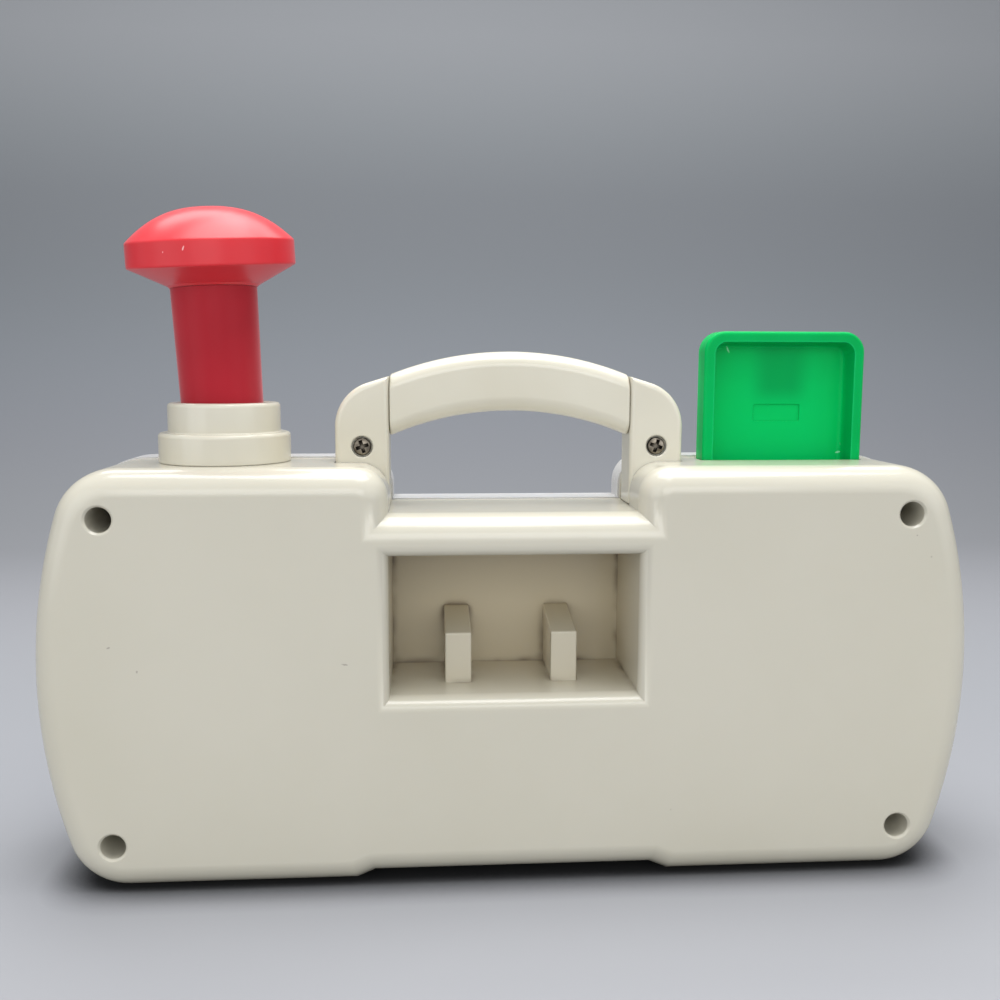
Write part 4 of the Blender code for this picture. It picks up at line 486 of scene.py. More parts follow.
case = dict(halfWidth=139.5, height=125, depth=58, seam=39, wall=2.5, sideRadius=166,
            corner=18.5, rim=8, lip=0.4, notchHalf=37, notchFloor=111.4, blockCorner=9,
            archHalf=41.6, archSlope=5.4, archRise=2.3, seamGap=0.12)
pocket = dict(halfWidth=37, floor=57.2, top=99.3, depth=39.6, mouth=3.6, leadIn=5, leadDrop=4.1,
              ribX=12.3, ribWidth=8.1, ribStart=16, ribTop=72.8, ribBackTop=77.1)
caseScrews = dict(x=118, rise=48.4, recess=3.7, recessDepth=26, boss=4.9, head=3, headHeight=2,
                  shank=1.5, length=22)
post = dict(inner=37, width=16.4, thick=15.6, topInner=151.1, shoulder=14, shoulderZ=135.7,
            turn=72, edge=1.8, socketWall=1.5, tongueWidth=8, tongueThick=7, tongueTop=134.2,
            screwZ=129.8, sink=1.4, sinkRadius=3.2, sinkEdge=0.3, boreDepth=9.3)
postScrew = dict(head=2.7, headHeight=1.6, shank=1.4, length=9, hole=1.52, turn=18)
mid = case["depth"] / 2
postMid = post["inner"] + post["width"] / 2


def caseOutline(grow=0, base=0, fine=1.0):
    half = case["height"] / 2
    sideX = case["halfWidth"] - case["sideRadius"]
    rise = half - case["corner"]
    run = math.sqrt((case["sideRadius"] - case["corner"]) ** 2 - rise ** 2)
    turn = math.atan2(rise, run)
    quarter = math.pi / 2
    corner, block = case["corner"] + grow, case["blockCorner"] + grow
    blockCentre = (case["notchHalf"] + case["blockCorner"], case["height"] - case["blockCorner"])
    few = max(4, round(12 * fine))
    right = [(case["archHalf"], base + case["archRise"]), (case["archHalf"] + case["archSlope"], base)]
    right += arcPoints((sideX + run, half - rise), corner, -quarter, -turn, few)
    right += arcPoints((sideX, half), case["sideRadius"] + grow, -turn, turn, 2 * few)[1:-1]
    right += arcPoints((sideX + run, half + rise), corner, turn, quarter, few)
    right += arcPoints(blockCentre, block, quarter, 2 * quarter, few)
    right.append((case["notchHalf"] - grow, case["notchFloor"] + grow))
    right = [(x, max(z, base)) for x, z in right]
    return right + [(-x, z) for x, z in reversed(right)]


def screwPlaces():
    half = case["height"] / 2
    return [(x, half + z) for x in (-caseScrews["x"], caseScrews["x"])
            for z in (-caseScrews["rise"], caseScrews["rise"])]


def pocketShape():
    # rings of the opening from outside to its depth, joined one to the next
    mouth, lead, deepest = pocket["mouth"], pocket["leadIn"], pocket["depth"]
    depths = [mouth * (1 - math.cos(math.radians(9 * i))) for i in range(11)]
    depths += [d for d in (lead * i / 20 for i in range(1, 21)) if d > mouth + 0.2]
    bm = bmesh.new()
    rings = []
    for depth in [-past] + depths + [deepest]:
        inside = max(depth, 0)
        left = max(mouth - inside, 0)
        flare = mouth - math.sqrt(mouth ** 2 - left ** 2)
        short = max(1 - inside / lead, 0)
        drop = pocket["leadDrop"] * (1 - math.sqrt(1 - short ** 2))
        x, low, high = pocket["halfWidth"] + flare, pocket["floor"] - drop, pocket["top"] + flare
        ring = [spot(a, depth, b) for a, b in ((-x, low), (x, low), (x, high), (-x, high))]
        rings.append(addRing(bm, ring, depth in (-past, deepest)))
    skinned(bm, rings)
    ribs = []
    start, back, low = pocket["ribStart"], deepest + past, pocket["floor"] - past
    outline = rounded([(start, low), (start, pocket["ribTop"], 0.6),
                       (back, pocket["ribBackTop"]), (back, low)], 4)
    for side in sides:
        edges = sorted((side * pocket["ribX"], side * (pocket["ribX"] + pocket["ribWidth"])))
        ribs.append(sidePlate(outline, edges[0], edges[1], rim=0.5))
    return combine(bm, merged(*ribs))


def makeBackShell():
    wall, seam, height, floor = case["wall"], case["seam"], case["height"], case["notchFloor"]
    bm = plate(caseOutline(), 0, seam, nearRim=case["rim"], steps=10)
    hollow = plate(caseOutline(-wall, wall, 0.5), wall, seam + past, nearRim=case["rim"] - wall, steps=4)
    trayX, trayZs = pocket["halfWidth"] + wall, (pocket["floor"] - wall, pocket["top"] + wall)
    kept = [brick((-trayX, trayX), (-past, seam + 8), trayZs)]
    kept += [peg(caseScrews["boss"], x, z, (-past, seam + 8), 24) for x, z in screwPlaces()]
    outer = post["inner"] + post["width"] + play
    near, far = mid - post["thick"] / 2 - play, mid + post["thick"] / 2 + play
    for side in sides:
        xs = sorted((side * (post["inner"] - past), side * (outer + post["socketWall"])))
        kept.append(brick(xs, (near - post["socketWall"], seam + 8), (floor - wall, height + past)))
    bm = combine(bm, combine(hollow, merged(*kept)))
    bm = combine(bm, brick((-trayX, trayX), (seam - wall, pocket["depth"] + wall), trayZs), "UNION")
    bm = combine(bm, pocketShape())
    cuts = []
    depth, shank, recess = caseScrews["recessDepth"], caseScrews["shank"] + fit, caseScrews["recess"]
    for x, z in screwPlaces():
        cuts.append(spun([(0, seam + past), (shank, seam + past), (shank, depth), (recess, depth),
                          (recess, 0.6), (recess + 0.6, 0), (recess + 0.6, -past), (0, -past)],
                         spot(x, 0, z), forward=True, steps=48))
    for side in sides:
        xs = sorted((side * (post["inner"] - past), side * outer))
        cuts.append(brick(xs, (near, far), (floor, height + past)))
    cuts.append(upright(plunger["spigot"] + play, plunger["x"], mid, (height - 6, height + past)))
    room, front = card["room"], card["depth"]
    half = card["halfWidth"] + room
    cuts.append(brick((card["x"] - half, card["x"] + half), (front - room, front + card["thick"] + room),
                      (height - 6, height + past)))
    bm = combine(bm, merged(*cuts))
    half, deep = post["tongueWidth"] / 2, post["tongueThick"] / 2
    added = [brick((x - half, x + half), (mid - deep, mid + deep), (floor - 1, post["tongueTop"]))
             for x in (-postMid, postMid)]
    added += [peg(card["boss"], card["x"] + side * card["stopX"], card["bossZ"],
                  (wall / 2, card["bossEnd"]), 24) for side in sides]
    bm = combine(bm, merged(*added), "UNION")
    pilots = [peg(postScrew["hole"], x, post["screwZ"], (20, 40), 24) for x in (-postMid, postMid)]
    bm = combine(bm, merged(*pilots))
    finishPiece("backCasing", bm, "creamABS", "case", ["back_shell"])


def makeFrontShell():
    wall, start, lip, depth = case["wall"], case["seam"] + case["seamGap"], case["lip"], case["depth"]
    height, wellX, wellBack = case["height"], well["halfWidth"], depth - well["depth"]
    wellLow, wellHigh, rodZ = well["bottom"], well["top"], keys["rodZ"]
    bm = plate(caseOutline(lip), start, depth, farRim=case["rim"], steps=10)
    hollow = plate(caseOutline(lip - wall, wall, 0.5), start - past, depth - wall,
                   farRim=case["rim"] - wall, steps=4)
    kept = [peg(caseScrews["boss"], x, z, (start - 8, depth), 24) for x, z in screwPlaces()]
    kept.append(brick((-wellX - wall, wellX + wall), (wellBack - wall, depth),
                      (wellLow - wall, wellHigh + wall)))
    kept.append(peg(dial["boss"], card["x"], dial["z"], (dial["bossDepth"], depth), 32))
    bm = combine(bm, combine(hollow, merged(*kept)))
    bed = rounded([(-wellX, wellLow, 4), (wellX, wellLow, 4), (wellX, wellHigh, 4), (-wellX, wellHigh, 4)])
    keyHalf = keys["spacing"] + keys["width"] / 2 + 2 * play
    cuts = [plate(bed, depth + past, wellBack),
            peg(dial["shaft"] + fit, card["x"], dial["z"], (start, depth + past)),
            peg(grille["spigot"] + play, plunger["x"], dial["z"], (start, depth + past), 64),
            brick((-keyHalf, keyHalf), (depth - 5, depth + past),
                  (keys["bottom"] - keys["drop"], keys["top"] + play)),
            upright(plunger["lower"] + play, plunger["x"], mid, (height, height + past)),
            upright(plunger["spigot"] + play, plunger["x"], mid, (height - 6, height + 0.2))]
    tip = caseScrews["recessDepth"] + caseScrews["length"] + play
    cuts += [peg(caseScrews["shank"] + fit, x, z, (start - past, tip), 24) for x, z in screwPlaces()]
    for cutter in cuts:
        bm = combine(bm, cutter)
    added = []
    pin = [(0, well["depth"] + 0.6), (1.7, well["depth"] + 0.6), (2.5, well["depth"] - 0.4), (2.5, 0), (0, 0)]
    for side in sides:
        added.append(spun(pin, spot(side * reels["x"], wellBack - 1.2, reels["z"]), forward=True, steps=32))
        ears = sorted((side * keyHalf, side * (keyHalf + 2.5)))
        added.append(brick(ears, (keys["rodDepth"] - 5, depth - 1.25), (rodZ - 5, rodZ + 5)))
    bm = combine(bm, merged(*added), "UNION")
    bm = combine(bm, crossBar(keys["bore"], -keyHalf - 6, keyHalf + 6, spot(0, keys["rodDepth"], rodZ)))
    finishPiece("frontCasing", bm, "whiteABS", "case", ["front_shell"])


def crossSlot(x, depth, z, reach, width, deep, turn):       # a cross recess for a screwdriver
    arms = [brick((x - a, x + a), (depth - 3, depth + deep), (z - b, z + b))
            for a, b in ((reach, width), (width, reach))]
    return turned(combine(*arms, "UNION"), math.radians(turn), "Y", about=spot(x, depth, z))


def makeScrew(name, x, z, seat, look, node, turn=0):
    # pan head towards the back, thread into the case
    head, headHeight, shank, length = [look[key] for key in ("head", "headHeight", "shank", "length")]
    end, root, pitch, side = headHeight + length, shank * 0.8, 1.1, headHeight * 0.55
    profile = [(0, end), (shank * 0.4, end - 1), (shank, end - 2)]
    for i in range(int((length - 5) / pitch)):
        level = end - 3 - i * pitch
        profile += [(root, level), (shank, level - 0.35), (root, level - 0.7)]
    profile += [(root, headHeight), (head, headHeight), (head, side)]
    profile += [(head * math.sin(math.radians(a)), side * (1 - math.cos(math.radians(a))))
                for a in range(75, 0, -15)]
    profile.append((0, 0))
    bm = spun(profile, spot(x, seat - headHeight, z), forward=True, steps=40)
    bm = combine(bm, crossSlot(x, seat - headHeight, z, head * 0.74, head * 0.2, 1.5, turn))
    finishPiece(name, bm, "nickelPlatedSteel", "case", [node])


def makeCaseScrews():
    for i, (x, z) in enumerate(screwPlaces()):
        makeScrew(f"caseScrew{i + 1}", x, z, caseScrews["recessDepth"] - play, caseScrews,
                  f"case_screw_{i + 1}")


def makePosts():
    outer, foot = post["inner"] + post["width"], case["notchFloor"]
    depths = (mid - post["thick"] / 2, mid + post["thick"] / 2)
    half, deep, seat = post["tongueWidth"] / 2 + play, post["tongueThick"] / 2 + play, post["sink"] + play
    hole, wide, edge = postScrew["hole"], post["sinkRadius"], post["sinkEdge"]
    sink = [(0, 12), (hole, 12), (hole, seat), (wide, seat), (wide, edge), (wide + edge, 0),
            (wide + edge, -past), (0, -past)]
    for side, word in ((-1, "left"), (1, "right")):
        outline = [(post["inner"], foot + play), (outer, foot + play)]
        outline += arcPoints((outer - post["shoulder"], post["shoulderZ"]), post["shoulder"],
                             0, math.radians(post["turn"]), 20)
        outline.append((post["inner"], post["topInner"]))
        bm = plate([(side * x, z) for x, z in outline], *depths,
                   nearRim=post["edge"], farRim=post["edge"], steps=5)
        x = side * postMid
        tongueZs = (foot - past, post["tongueTop"] + play)
        bm = combine(bm, brick((x - half, x + half), (mid - deep, mid + deep), tongueZs))
        start = post["inner"] - past if side > 0 else past - post["inner"] - post["boreDepth"]
        bore = crossBar(grip["boss"] + fit, 0, post["boreDepth"], spot(start, mid, grip["axisZ"]), steps=48)
        seatHole = spun(sink, spot(x, depths[0], post["screwZ"]), forward=True, steps=48)
        bm = combine(combine(bm, bore), seatHole)
        finishPiece(f"{word}Post", bm, "gripABS", "case", [f"handle_post_{word}"])
        makeScrew(f"{word}PostScrew", x, post["screwZ"], depths[0] + post["sink"], postScrew,
                  f"post_screw_{word}", side * postScrew["turn"])


grip = dict(half=36.92, top=158.6, topSag=7.1, bottom=140.5, bottomSag=7.7, thick=15, edge=4.6,
            axisZ=142.7, boss=6.2, bossLength=5)


def bowHeight(x, top, sag, half):
    radius = (half ** 2 + sag ** 2) / (2 * sag)
    return top - radius + math.sqrt(radius ** 2 - x ** 2)


def makeGrip():
    # rounded sections from one end to the other, joined one to the next
    bm = bmesh.new()
    rings = []
    half, edge = grip["half"], grip["edge"]
    ends = [(0, 0.8), (0.25, 0.3), (0.8, 0)]        # how far in from the end, and how much smaller
    stations = [(-half + back, less) for back, less in ends]
    stations += [(-half + 2 * half * i / 40, 0) for i in range(2, 39)]
    stations += [(half - back, less) for back, less in reversed(ends)]
    for x, less in stations:
        high = bowHeight(x, grip["top"], grip["topSag"], half) - less
        low = bowHeight(x, grip["bottom"], grip["bottomSag"], half) + less
        reach = grip["thick"] / 2 - less
        near, far = mid - reach, mid + reach
        ring = rounded([(near, low, edge), (far, low, edge), (far, high, edge), (near, high, edge)], 10)
        rings.append(addRing(bm, [spot(x, depth, z) for depth, z in ring], abs(x) == half))
    skinned(bm, rings)
    bosses, radius = [], grip["boss"]
    for side in sides:
        boss = spun([(0, 9), (radius - 0.5, 9), (radius, 8.5), (radius, 0), (0, 0)], steps=48)
        start = side * (post["inner"] + grip["bossLength"] - 9)
        bosses.append(turned(boss, side * math.pi / 2, "Y", to=spot(start, mid, grip["axisZ"])))
    bm = combine(bm, merged(*bosses), "UNION")
    finishPiece("handleGrip", bm, "gripABS", "grip", ["grip"])


plunger = dict(x=87.4, lean=2.5, leanZ=130.5, lower=19.75, upper=16.8, step=9, bore=13.4, edge=1.2,
               spigot=15.6, flange=18.5, flangeHeight=3, stem=12.3, stemWall=2.5, stemShown=34, taper=0.45,
               knob=24.7, under=6.4, band=7.3, dome=10.3, nod=5, retainer=16.2, stroke=31)
collarBase = case["height"] + 0.05
collarTop = collarBase + 2 * plunger["step"]
collarRoot = case["height"] - case["wall"] - play       # where the flange meets the case from inside
collarFoot = collarRoot - plunger["flangeHeight"]
stemTop = collarTop + plunger["stemShown"]
plungerAxis = spot(plunger["x"], mid, 0)


def lean(bm):       # the loose plunger leans a little in its collar
    return turned(bm, math.radians(plunger["lean"]), "Y", about=spot(plunger["x"], mid, plunger["leanZ"]))


def makeCollar():
    edge, middle = plunger["edge"], collarBase + plunger["step"]
    profile = rounded([(plunger["bore"], collarFoot), (plunger["bore"], collarTop, 0.8),
                       (plunger["upper"], collarTop, edge), (plunger["upper"], middle, 0.5),
                       (plunger["lower"], middle, edge), (plunger["lower"], collarBase, 0.3),
                       (plunger["spigot"], collarBase), (plunger["spigot"], collarRoot),
                       (plunger["flange"], collarRoot), (plunger["flange"], collarFoot)], 6)
    bm = spun(profile, plungerAxis, ring=True, steps=128)
    finishPiece("plungerCollar", bm, "gripABS", "case", ["plunger_collar"])


def makePlunger():
    stem, above = plunger["stem"], stemTop + play
    bandLow, bandHigh = above + plunger["under"], above + plunger["under"] + plunger["band"]
    apex, rim = bandHigh + plunger["dome"], plunger["knob"]
    dome = [(rim * i / 28, apex - plunger["dome"] * (i / 28) ** 2.5) for i in range(29)]
    inner = stem - plunger["stemWall"] - play
    profile = [(0, apex)] + dome[1:-1]
    profile += rounded([dome[-2], (rim, bandHigh, 1.0), (rim, bandLow, 0.7), (stem + 1.2, above + 0.7, 1.5),
                        (stem + 0.5, above), (inner, above), (inner, above - 9), (0, above - 9)],
                       6, closed=False)[1:]
    knob = spun(profile, plungerAxis, steps=128)
    for vert in knob.verts:         # the knob has set with a slight nod towards the back
        share = min(max((vert.co.z / mm - above) / plunger["under"], 0), 1)
        share *= share * (3 - 2 * share)
        vert.co.z -= (vert.co.y - plungerAxis.y) * share * math.tan(math.radians(plunger["nod"]))
    finishPiece("plungerKnob", lean(knob), "redPolypropylene", "plunger", ["plunger_knob"])
    bottom, bore = collarFoot - 1 + play, stem - plunger["stemWall"]
    wide, narrow, high = stem + plunger["taper"], stem - plunger["taper"], stemTop + play - 0.05
    tube = rounded([(wide, high, 0.2), (narrow, bottom, 0.4), (bore, bottom), (bore, high)], 3)
    finishPiece("plungerStem", lean(spun(tube, plungerAxis, ring=True, steps=96)), "stemPolypropylene",
                "plunger", ["plunger_stem"])
    top, wide = bottom - play, plunger["retainer"]
    plug = rounded([(0, top + 8), (bore - play, top + 8, 0.8), (bore - play, top), (wide, top, 0.3),
                    (wide, top - 3, 0.3), (0, top - 3)], 3, closed=False)
    finishPiece("plungerRetainer", lean(spun(plug, plungerAxis, steps=64)), "whiteAcetal",
                "plunger", ["plunger_retainer"])


def makeSqueaker():
    foot = case["wall"] + play
    seat = foot + 18
    body = rounded([(3, seat + 6), (7, seat + 6, 0.6), (7, seat), (12.5, seat, 0.8),
                    (12.5, foot, 0.8), (3, foot)], 4)
    slit = brick((plunger["x"] - 2.5, plunger["x"] + 2.5), (mid, mid + 18), (foot + 2.5, foot + 10.5))
    whistle = combine(spun(body, plungerAxis, ring=True, steps=64), slit)
    finishPiece("squeakerWhistle", whistle, "whiteAcetal", "case", ["squeaker_whistle"])
    top = collarFoot - 1 - 3 - plunger["retainer"] * math.sin(math.radians(plunger["lean"])) - play
    bottom = seat + play
    folds, neck, wide, skin = 7, 10.8, 14, 1.4
    pitch = (top - bottom - 6) / folds
    outer = []
    for i in range(folds * 12 + 1):
        swell = (1 - math.cos(2 * math.pi * i / 12)) / 2
        outer.append((neck + (wide - neck) * swell, top - 3 - i * pitch / 12))
    inner = [(radius - skin, level) for radius, level in reversed(outer)]
    profile = [(0, top), (neck - 0.6, top), (neck, top - 0.6)] + outer
    profile += [(neck, bottom + 0.5), (neck - 0.5, bottom), (7.3, bottom), (7.3, bottom + skin)]
    profile += inner + [(neck - skin, top - skin), (0, top - skin)]
    bellows = finishPiece("squeakerBellows", spun(profile, plungerAxis, steps=64), "mouldedRubber",
                          "case", ["squeaker_bellows"])
    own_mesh(bellows)


card = dict(x=-86.3, halfWidth=25.5, depth=25, thick=9, top=165.1, bottom=84, rim=2.6, web=2, corner=6.5,
            edge=1.1, draft=1.5, markHalf=7.55, markRise=2.7, markZ=139.6, markSink=0.5, room=0.4,
            stopX=11, boss=4, bossZ=90.9, bossEnd=22.3)


def cardOutline(half, low, high, corner):
    x = card["x"]
    return rounded([(x - half, low), (x + half, low), (x + half, high, corner), (x - half, high, corner)], 14)


def makeCard():
    x, half, low, high, rim = card["x"], card["halfWidth"], card["bottom"], card["top"], card["rim"]
    near, far, edge = card["depth"], card["depth"] + card["thick"], card["edge"]
    floorDepth = far - card["web"]
    bm = plate(cardOutline(half, low, high, card["corner"]), near, far, nearRim=edge, farRim=edge, steps=3)
    tray = plate(cardOutline(half - rim, low + rim, high - rim, card["corner"] - rim),
                 near - past, floorDepth)
    floorY = spot(0, floorDepth, 0).y
    for vert in tray.verts:         # the tray narrows to its floor, as it has to leave its mould
        if abs(vert.co.y - floorY) < 1e-6:
            away = Vector(((vert.co.x / mm - x) / (half - rim),
                           (vert.co.z / mm - (low + high) / 2) / ((high - low) / 2 - rim)))
            vert.co.x -= away.x * card["draft"] * mm
            vert.co.z -= away.y * card["draft"] * mm
    roundRim(tray, floorY, 1.3, 5)
    bm = combine(bm, tray)
    across, rise, z = card["markHalf"], card["markRise"], card["markZ"]
    mark = rounded([(x - across, z - rise, 0.5), (x + across, z - rise, 0.5),
                    (x + across, z + rise, 0.5), (x - across, z + rise, 0.5)], 4)
    bm = combine(bm, plate(mark, floorDepth - 3, floorDepth + card["markSink"]))
    stops = [brick((x + side * card["stopX"] - 5, x + side * card["stopX"] + 5), (near - 3, near + rim),
                   (low, low + rim - 0.01)) for side in sides]
    bm = combine(bm, merged(*stops), "UNION")
    finishPiece("popupCard", bm, "greenPolystyrene", "card", ["popup_card"])


dial = dict(z=56, radius=37, base=3, rimHeight=4.5, rimWidth=5, hub=11, hubHeight=6, edge=1.5,
            holes=6, holeRadius=6, holeRing=21.5, scallops=20, scallopRadius=2.6, shaft=4.5,
            boss=8, bossDepth=46.3, cap=8, capHeight=2.5, capSink=2)
grille = dict(spigot=30, radius=37, rimWidth=5, rimHeight=4, plate=2, dome=1.6, hole=3.6,
              ringStep=11.6, rings=2)
well = dict(halfWidth=34, bottom=55, top=95, depth=6)
reels = dict(x=15.5, z=75, disc=11.5, hub=6.8, pin=2.62, proud=1.4, discThick=1.8)
keys = dict(spacing=23, width=21.5, bottom=22, top=38, proud=6, capDepth=12, rodDepth=36, rodZ=29, bore=1.62,
            hub=3.4, arm=3.2, drop=4, springDepth=45.5, springRadius=2.6, springWire=0.4, springTurns=5)


def ringPlaces(x, z, radius, count, first=0):
    turns = [2 * math.pi * (i + first) / count for i in range(count)]
    return [(x + radius * math.cos(turn), z + radius * math.sin(turn)) for turn in turns]


def makeDial():
    face, base, x, z = case["depth"] + play, dial["base"], card["x"], dial["z"]
    rimTop, hubTop, edge = base + dial["rimHeight"], base + dial["hubHeight"], dial["edge"]
    inner, sink = dial["radius"] - dial["rimWidth"], base + dial["hubHeight"] - dial["capSink"]
    bore, capRoom = dial["shaft"] + fit, dial["cap"] + play
    profile = rounded([(bore, sink), (capRoom, sink), (capRoom, hubTop, 0.3), (dial["hub"], hubTop, edge),
                       (dial["hub"], base, 1.2), (inner, base, 1.2), (inner, rimTop, edge),
                       (dial["radius"], rimTop, edge), (dial["radius"], 0, 0.5), (bore, 0)], 6)
    bm = spun(profile, spot(x, face, z), ring=True, forward=True, steps=120)
    radius = dial["holeRadius"]
    hole = [(0, 8), (radius + 0.8, 8), (radius + 0.8, base), (radius, base - 0.8), (radius, -2), (0, -2)]
    cuts = [spun(hole, spot(a, face, b), forward=True, steps=40)
            for a, b in ringPlaces(x, z, dial["holeRing"], dial["holes"], 0.5)]
    cuts += [peg(dial["scallopRadius"], a, b, (face - 2, face + 12), 24)
             for a, b in ringPlaces(x, z, dial["radius"], dial["scallops"])]
    bm = combine(bm, merged(*cuts))
    finishPiece("turningDial", bm, "yellowABS", "dial", ["turning_dial"])
    wide, high, crown = dial["cap"], dial["capHeight"], dial["capHeight"] - dial["capSink"]
    cap = rounded([(0, high), (wide - 2, high - crown * 0.3, 2), (wide, dial["capSink"] - 0.2, 0.3),
                   (wide, 0), (0, 0)], 6, closed=False)
    finishPiece("dialCap", spun(cap, spot(x, face + sink + play, z), forward=True), "redPolypropylene",
                "dial", ["dial_cap"])


def makeGrille():
    radius, rise, sheet = grille["radius"], grille["rimHeight"], grille["plate"]
    inner, face = radius - grille["rimWidth"], case["depth"] + play
    domeRadius = (inner ** 2 + grille["dome"] ** 2) / (2 * grille["dome"])
    turn = math.asin(inner / domeRadius)
    dome = arcPoints((0, sheet + grille["dome"] - domeRadius), domeRadius,
                     math.pi / 2, math.pi / 2 - turn, 16)
    profile = [(0, sheet + grille["dome"])] + dome[1:-1]
    profile += rounded([dome[-2], (inner, sheet, 0.8), (inner + 1, rise, 1.0), (radius, rise, 1.5),
                        (radius, 0, 0.5), (grille["spigot"], 0), (grille["spigot"], -1.5), (0, -1.5)],
                       6, closed=False)[1:]
    bm = spun(profile, spot(plunger["x"], face, dial["z"]), forward=True, steps=120)
    holes = [peg(grille["hole"], a, b, (face - 6, face + 10), 32) for ring in range(grille["rings"] + 1)
             for a, b in ringPlaces(plunger["x"], dial["z"], ring * grille["ringStep"], max(1, 6 * ring))]
    bm = combine(bm, merged(*holes))
    finishPiece("speakerGrille", bm, "blueABS", "case", ["speaker_grille"])


def makeCassette():
    half, low, high = well["halfWidth"] - play, well["bottom"] + play, well["top"] - play
    front = case["depth"] - 0.6
    outline = rounded([(-half, low, 3.7), (half, low, 3.7), (half, high, 3.7), (-half, high, 3.7)])
    pane = plate(outline, front, front - 2, nearRim=0.4, steps=3)
    holes = [peg(7.4, side * reels["x"], reels["z"], (front - 6, front + 4), 56) for side in sides]
    finishPiece("cassetteWindow", combine(pane, merged(*holes)), "clearPolystyrene", "case",
                ["cassette_window"])
    back, proud = case["depth"] - well["depth"] + play, case["depth"] + reels["proud"]
    pin, top, hub, disc, thick = reels["pin"], proud - back, reels["hub"], reels["disc"], reels["discThick"]
    profile = rounded([(pin, 0), (pin, top, 0.3), (hub, top, 0.9), (hub, thick, 0.5), (disc, thick, 0.5),
                       (disc, 0, 0.3)], 4)
    for side, word in ((-1, "left"), (1, "right")):
        bm = spun(profile, spot(side * reels["x"], back, reels["z"]), ring=True, forward=True, steps=72)
        slots = []
        for i in range(6):
            slot = brick((hub - 1.8, hub + 4), (proud - 1.8, case["depth"] + 8), (-0.8, 0.8))
            slots.append(turned(slot, i * math.pi / 3, "Y", to=(side * reels["x"] * mm, 0, reels["z"] * mm)))
        finishPiece(f"{word}Reel", combine(bm, merged(*slots)), "orangeABS", f"reel_{word}",
                    [f"tape_reel_{word}"])


def makeKeys():
    front, back = case["depth"] + keys["proud"], case["depth"] + keys["proud"] - keys["capDepth"]
    half, hub = keys["arm"] / 2, keys["hub"]
    bend = math.asin(half / hub)
    outline = [(front, keys["bottom"]), (back, keys["bottom"]), (back, keys["rodZ"] - half)]
    outline += arcPoints((keys["rodDepth"], keys["rodZ"]), hub, -bend, -2 * math.pi + bend, 32)
    outline += [(back, keys["rodZ"] + half), (back, keys["top"])]
    outline += arcPoints((front - 2.5, keys["top"] - 2.5), 2.5, math.pi / 2, 0, 8)
    colours = (("left", "redPolypropylene", "red_knob"), ("middle", "yellowABS", "yellow_dial"),
               ("right", "blueABS", "blue_grille"))
    for i, (word, finish, slotName) in enumerate(colours):
        x = (i - 1) * keys["spacing"]
        flanks = (x - keys["width"] / 2, x + keys["width"] / 2)
        bm = sidePlate(outline, *flanks)
        proud = [e for e in bm.edges if max(v.co.y for v in e.verts) < spot(0, case["depth"] - 5, 0).y and
                 any(all(abs(v.co.x - flank * mm) < 1e-6 for v in e.verts) for flank in flanks)]
        bmesh.ops.bevel(bm, geom=proud, offset=0.8 * mm, segments=4, profile=0.5, affect="EDGES", material=-1)
        bm = combine(outward(bm), crossBar(keys["bore"], -20, 20, spot(x, keys["rodDepth"], keys["rodZ"])))
        finishPiece(f"{word}Key", bm, finish, f"key_{word}", [f"key_{word}"])
        makeKeySpring(word, x)


def makeKeySpring(word, x):
    wire, turns = keys["springWire"], keys["springTurns"]
    low = case["wall"] + case["archRise"] + play + wire
    high = keys["rodZ"] - keys["arm"] / 2 - play - wire
    bm = bmesh.new()
    bmesh.ops.create_circle(bm, segments=8, radius=wire * mm)
    turned(bm, math.pi / 2, "X", to=(keys["springRadius"] * mm, 0, low * mm))
    steps = turns * 24
    bmesh.ops.spin(bm, geom=bm.verts[:] + bm.edges[:], cent=(0, 0, 0), axis=(0, 0, 1),
                   angle=turns * 2 * math.pi, dvec=(0, 0, (high - low) * mm / steps),
                   steps=steps, use_merge=False)
    bmesh.ops.remove_doubles(bm, verts=bm.verts, dist=1e-7)
    bmesh.ops.holes_fill(bm, edges=[e for e in bm.edges if e.is_boundary])
    bmesh.ops.translate(outward(bm), verts=bm.verts, vec=spot(x, keys["springDepth"], 0))
    spring = finishPiece(f"{word}KeySpring", bm, "drawnSteel", "case", [f"key_{word}_spring"])
    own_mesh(spring)


def keepCadPieces():        # shapes that are right as they are: the works inside
    kept = {"card_guide": "whiteAcetal", "card_rack": "whiteAcetal", "dial_pinion": "whiteAcetal",
            "click_finger": "whiteAcetal", "key_rod": "drawnSteel"}
    for node, finish in kept.items():
        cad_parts[node].data.materials.append(finishes[finish])


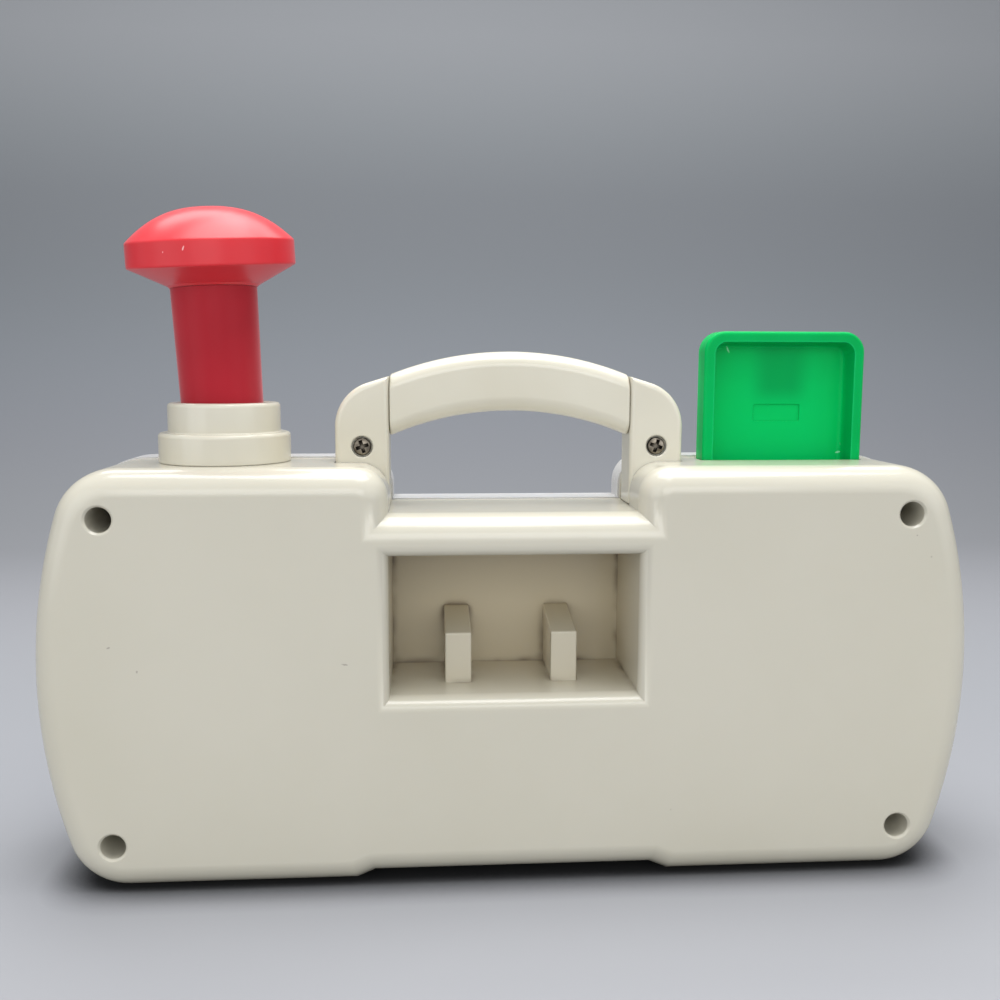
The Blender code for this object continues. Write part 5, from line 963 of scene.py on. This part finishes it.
# paper holds the sweep's colours, graded to paint the fall of light, from the floor in front of
# the toy, back and up the wall; a place on the sweep is told by its height plus a quarter of how far back it
# lies, in metres
studio = dict(camera=(25.27, 329.6, 153.79), lens=37.41, right=(-0.997608, 0.069086, 0.002502),
              up=(-0.006274, -0.126515, 0.991945), sweepBack=-900, sweepFront=3000, sweepHeight=1500,
              sweepRadius=350, halfWidth=5000, air=1.03,
              paper=((-0.02, "#9A9B9F"), (-0.004, "#929397"), (0.035, "#8D8F93"), (0.075, "#8E8F93"),
                     (0.12, "#87888C"), (0.175, "#808285"), (0.27, "#797B80"), (0.37, "#767A7F"),
                     (0.47, "#717579"), (0.56, "#74777B"), (0.65, "#7E8285"), (0.75, "#8F9194")))
lamps = {
    "topSoftbox": dict(place=(-0.03, 0.03, 0.93), target=(0, 0, 0.1), size=(0.62, 0.72), power=8.7),
    "backStrip": dict(place=(0.0, -0.5, 0.9), target=(0, 0, 0.1), size=(1.2, 0.3), power=4.5),
    "leftPanel": dict(place=(0.84, 0.71, 0.35), target=(0, 0, 0.1), size=(0.8, 0.8), power=2.2),
    "rightPanel": dict(place=(-0.84, 0.71, 0.35), target=(0, 0, 0.1), size=(0.8, 0.8), power=1.4),
    "frontFill": dict(place=(0.0, 1.35, 0.55), target=(0, 0, 0.09), size=(1.1, 0.55), power=4.5),
}


def paperSweep():       # matt paper with a faint fibre, its colour graded to paint the fall of light, and a painted contact shadow round the toy
    material, tree, shader, place = newMaterial("paperSweep")
    parts = addNode(tree, "SeparateXYZ", {"Vector": place}).outputs
    stops = studio["paper"]
    first, last = stops[0][0], stops[-1][0]
    share = fade(tree, calc(tree, "MULTIPLY_ADD", parts["Y"], -0.25, parts["Z"]), first, last)
    ramp = addNode(tree, "ValToRGB", {"Fac": share})
    ramp.color_ramp.interpolation = "B_SPLINE"
    for i in (0, -1):
        ramp.color_ramp.elements[i].color = linearColour(stops[i][1])
    for level, colour in stops[1:-1]:
        ramp.color_ramp.elements.new((level - first) / (last - first)).color = linearColour(colour)
    # painted contact shadow: darker where the toy stands
    nearby = addNode(tree, "AmbientOcclusion", {"Distance": 15 * mm}, samples=8)
    shade = fade(tree, nearby.outputs["AO"], 0.38, 0.95)
    fibre = addNode(tree, "TexNoise", {"Vector": place, "Scale": 600.0}).outputs["Fac"]
    feed(tree, shader, {"Base Color": blend(tree, shade, "#08090C", ramp.outputs["Color"]), "Roughness": 0.9,
                        "Normal": bump(tree, fibre, 0.02, 0.05)})
    return material


def makeStage():
    bm = bmesh.new()
    back, radius, half = studio["sweepBack"], studio["sweepRadius"], studio["halfWidth"]
    profile = [(studio["sweepFront"], 0)]
    profile += arcPoints((back + radius, radius), radius, -math.pi / 2, -math.pi, 24)
    profile.append((back, studio["sweepHeight"]))
    verts = [bm.verts.new((-half * mm, y * mm, z * mm)) for y, z in profile]
    edges = [bm.edges.new(pair) for pair in zip(verts, verts[1:])]
    made = bmesh.ops.extrude_edge_only(bm, edges=edges)["geom"]
    bmesh.ops.translate(bm, verts=[v for v in made if isinstance(v, bmesh.types.BMVert)],
                        vec=(2 * half * mm, 0, 0))
    if outward(bm).faces[0].normal.z < 0:
        bmesh.ops.reverse_faces(bm, faces=bm.faces)
    mesh = bpy.data.meshes.new("studioSweep")
    bm.to_mesh(mesh)
    bm.free()
    mesh.shade_smooth()
    mesh.materials.append(paperSweep())
    sweep = bpy.data.objects.new("studioSweep", mesh)
    scene.collection.objects.link(sweep)


def addLight(name, place, target, size, power):
    place, target = Vector(place), Vector(target)
    data = bpy.data.lights.new(name, "AREA")
    data.shape, data.size, data.size_y, data.energy = "RECTANGLE", size[0], size[1], power
    lamp = bpy.data.objects.new(name, data)
    lamp.location = place
    lamp.rotation_euler = (target - place).to_track_quat("-Z", "Y").to_euler()
    scene.collection.objects.link(lamp)


def makeStudio():
    data = bpy.data.cameras.new("camera")
    data.lens, data.sensor_width, data.clip_start = studio["lens"], 36, 0.01
    camera = bpy.data.objects.new("camera", data)
    right, up = Vector(studio["right"]), Vector(studio["up"])
    turn = Matrix((right, up, right.cross(up))).transposed().to_4x4()
    camera.matrix_world = Matrix.Translation(Vector(studio["camera"]) * mm) @ turn
    scene.collection.objects.link(camera)
    scene.camera = camera
    for name, lamp in lamps.items():
        addLight(name, **lamp)
    scene.world = bpy.data.worlds.new("studioAir")
    scene.world.use_nodes = True
    feed(scene.world.node_tree, scene.world.node_tree.nodes["Background"],
         {"Color": linearColour("#DADCE0"), "Strength": studio["air"]})
    scene.view_settings.view_transform = "Standard"


makeBackShell()
print("back casing made")
makeFrontShell()
makeCaseScrews()
print("front casing and screws made")
makePosts()
makeGrip()
makeCollar()
makePlunger()
makeSqueaker()
print("handle, plunger and squeaker made")
makeCard()
makeDial()
makeGrille()
makeCassette()
makeKeys()
keepCadPieces()
print("card and play face made")
makeStage()
makeStudio()
print("stage and light made")
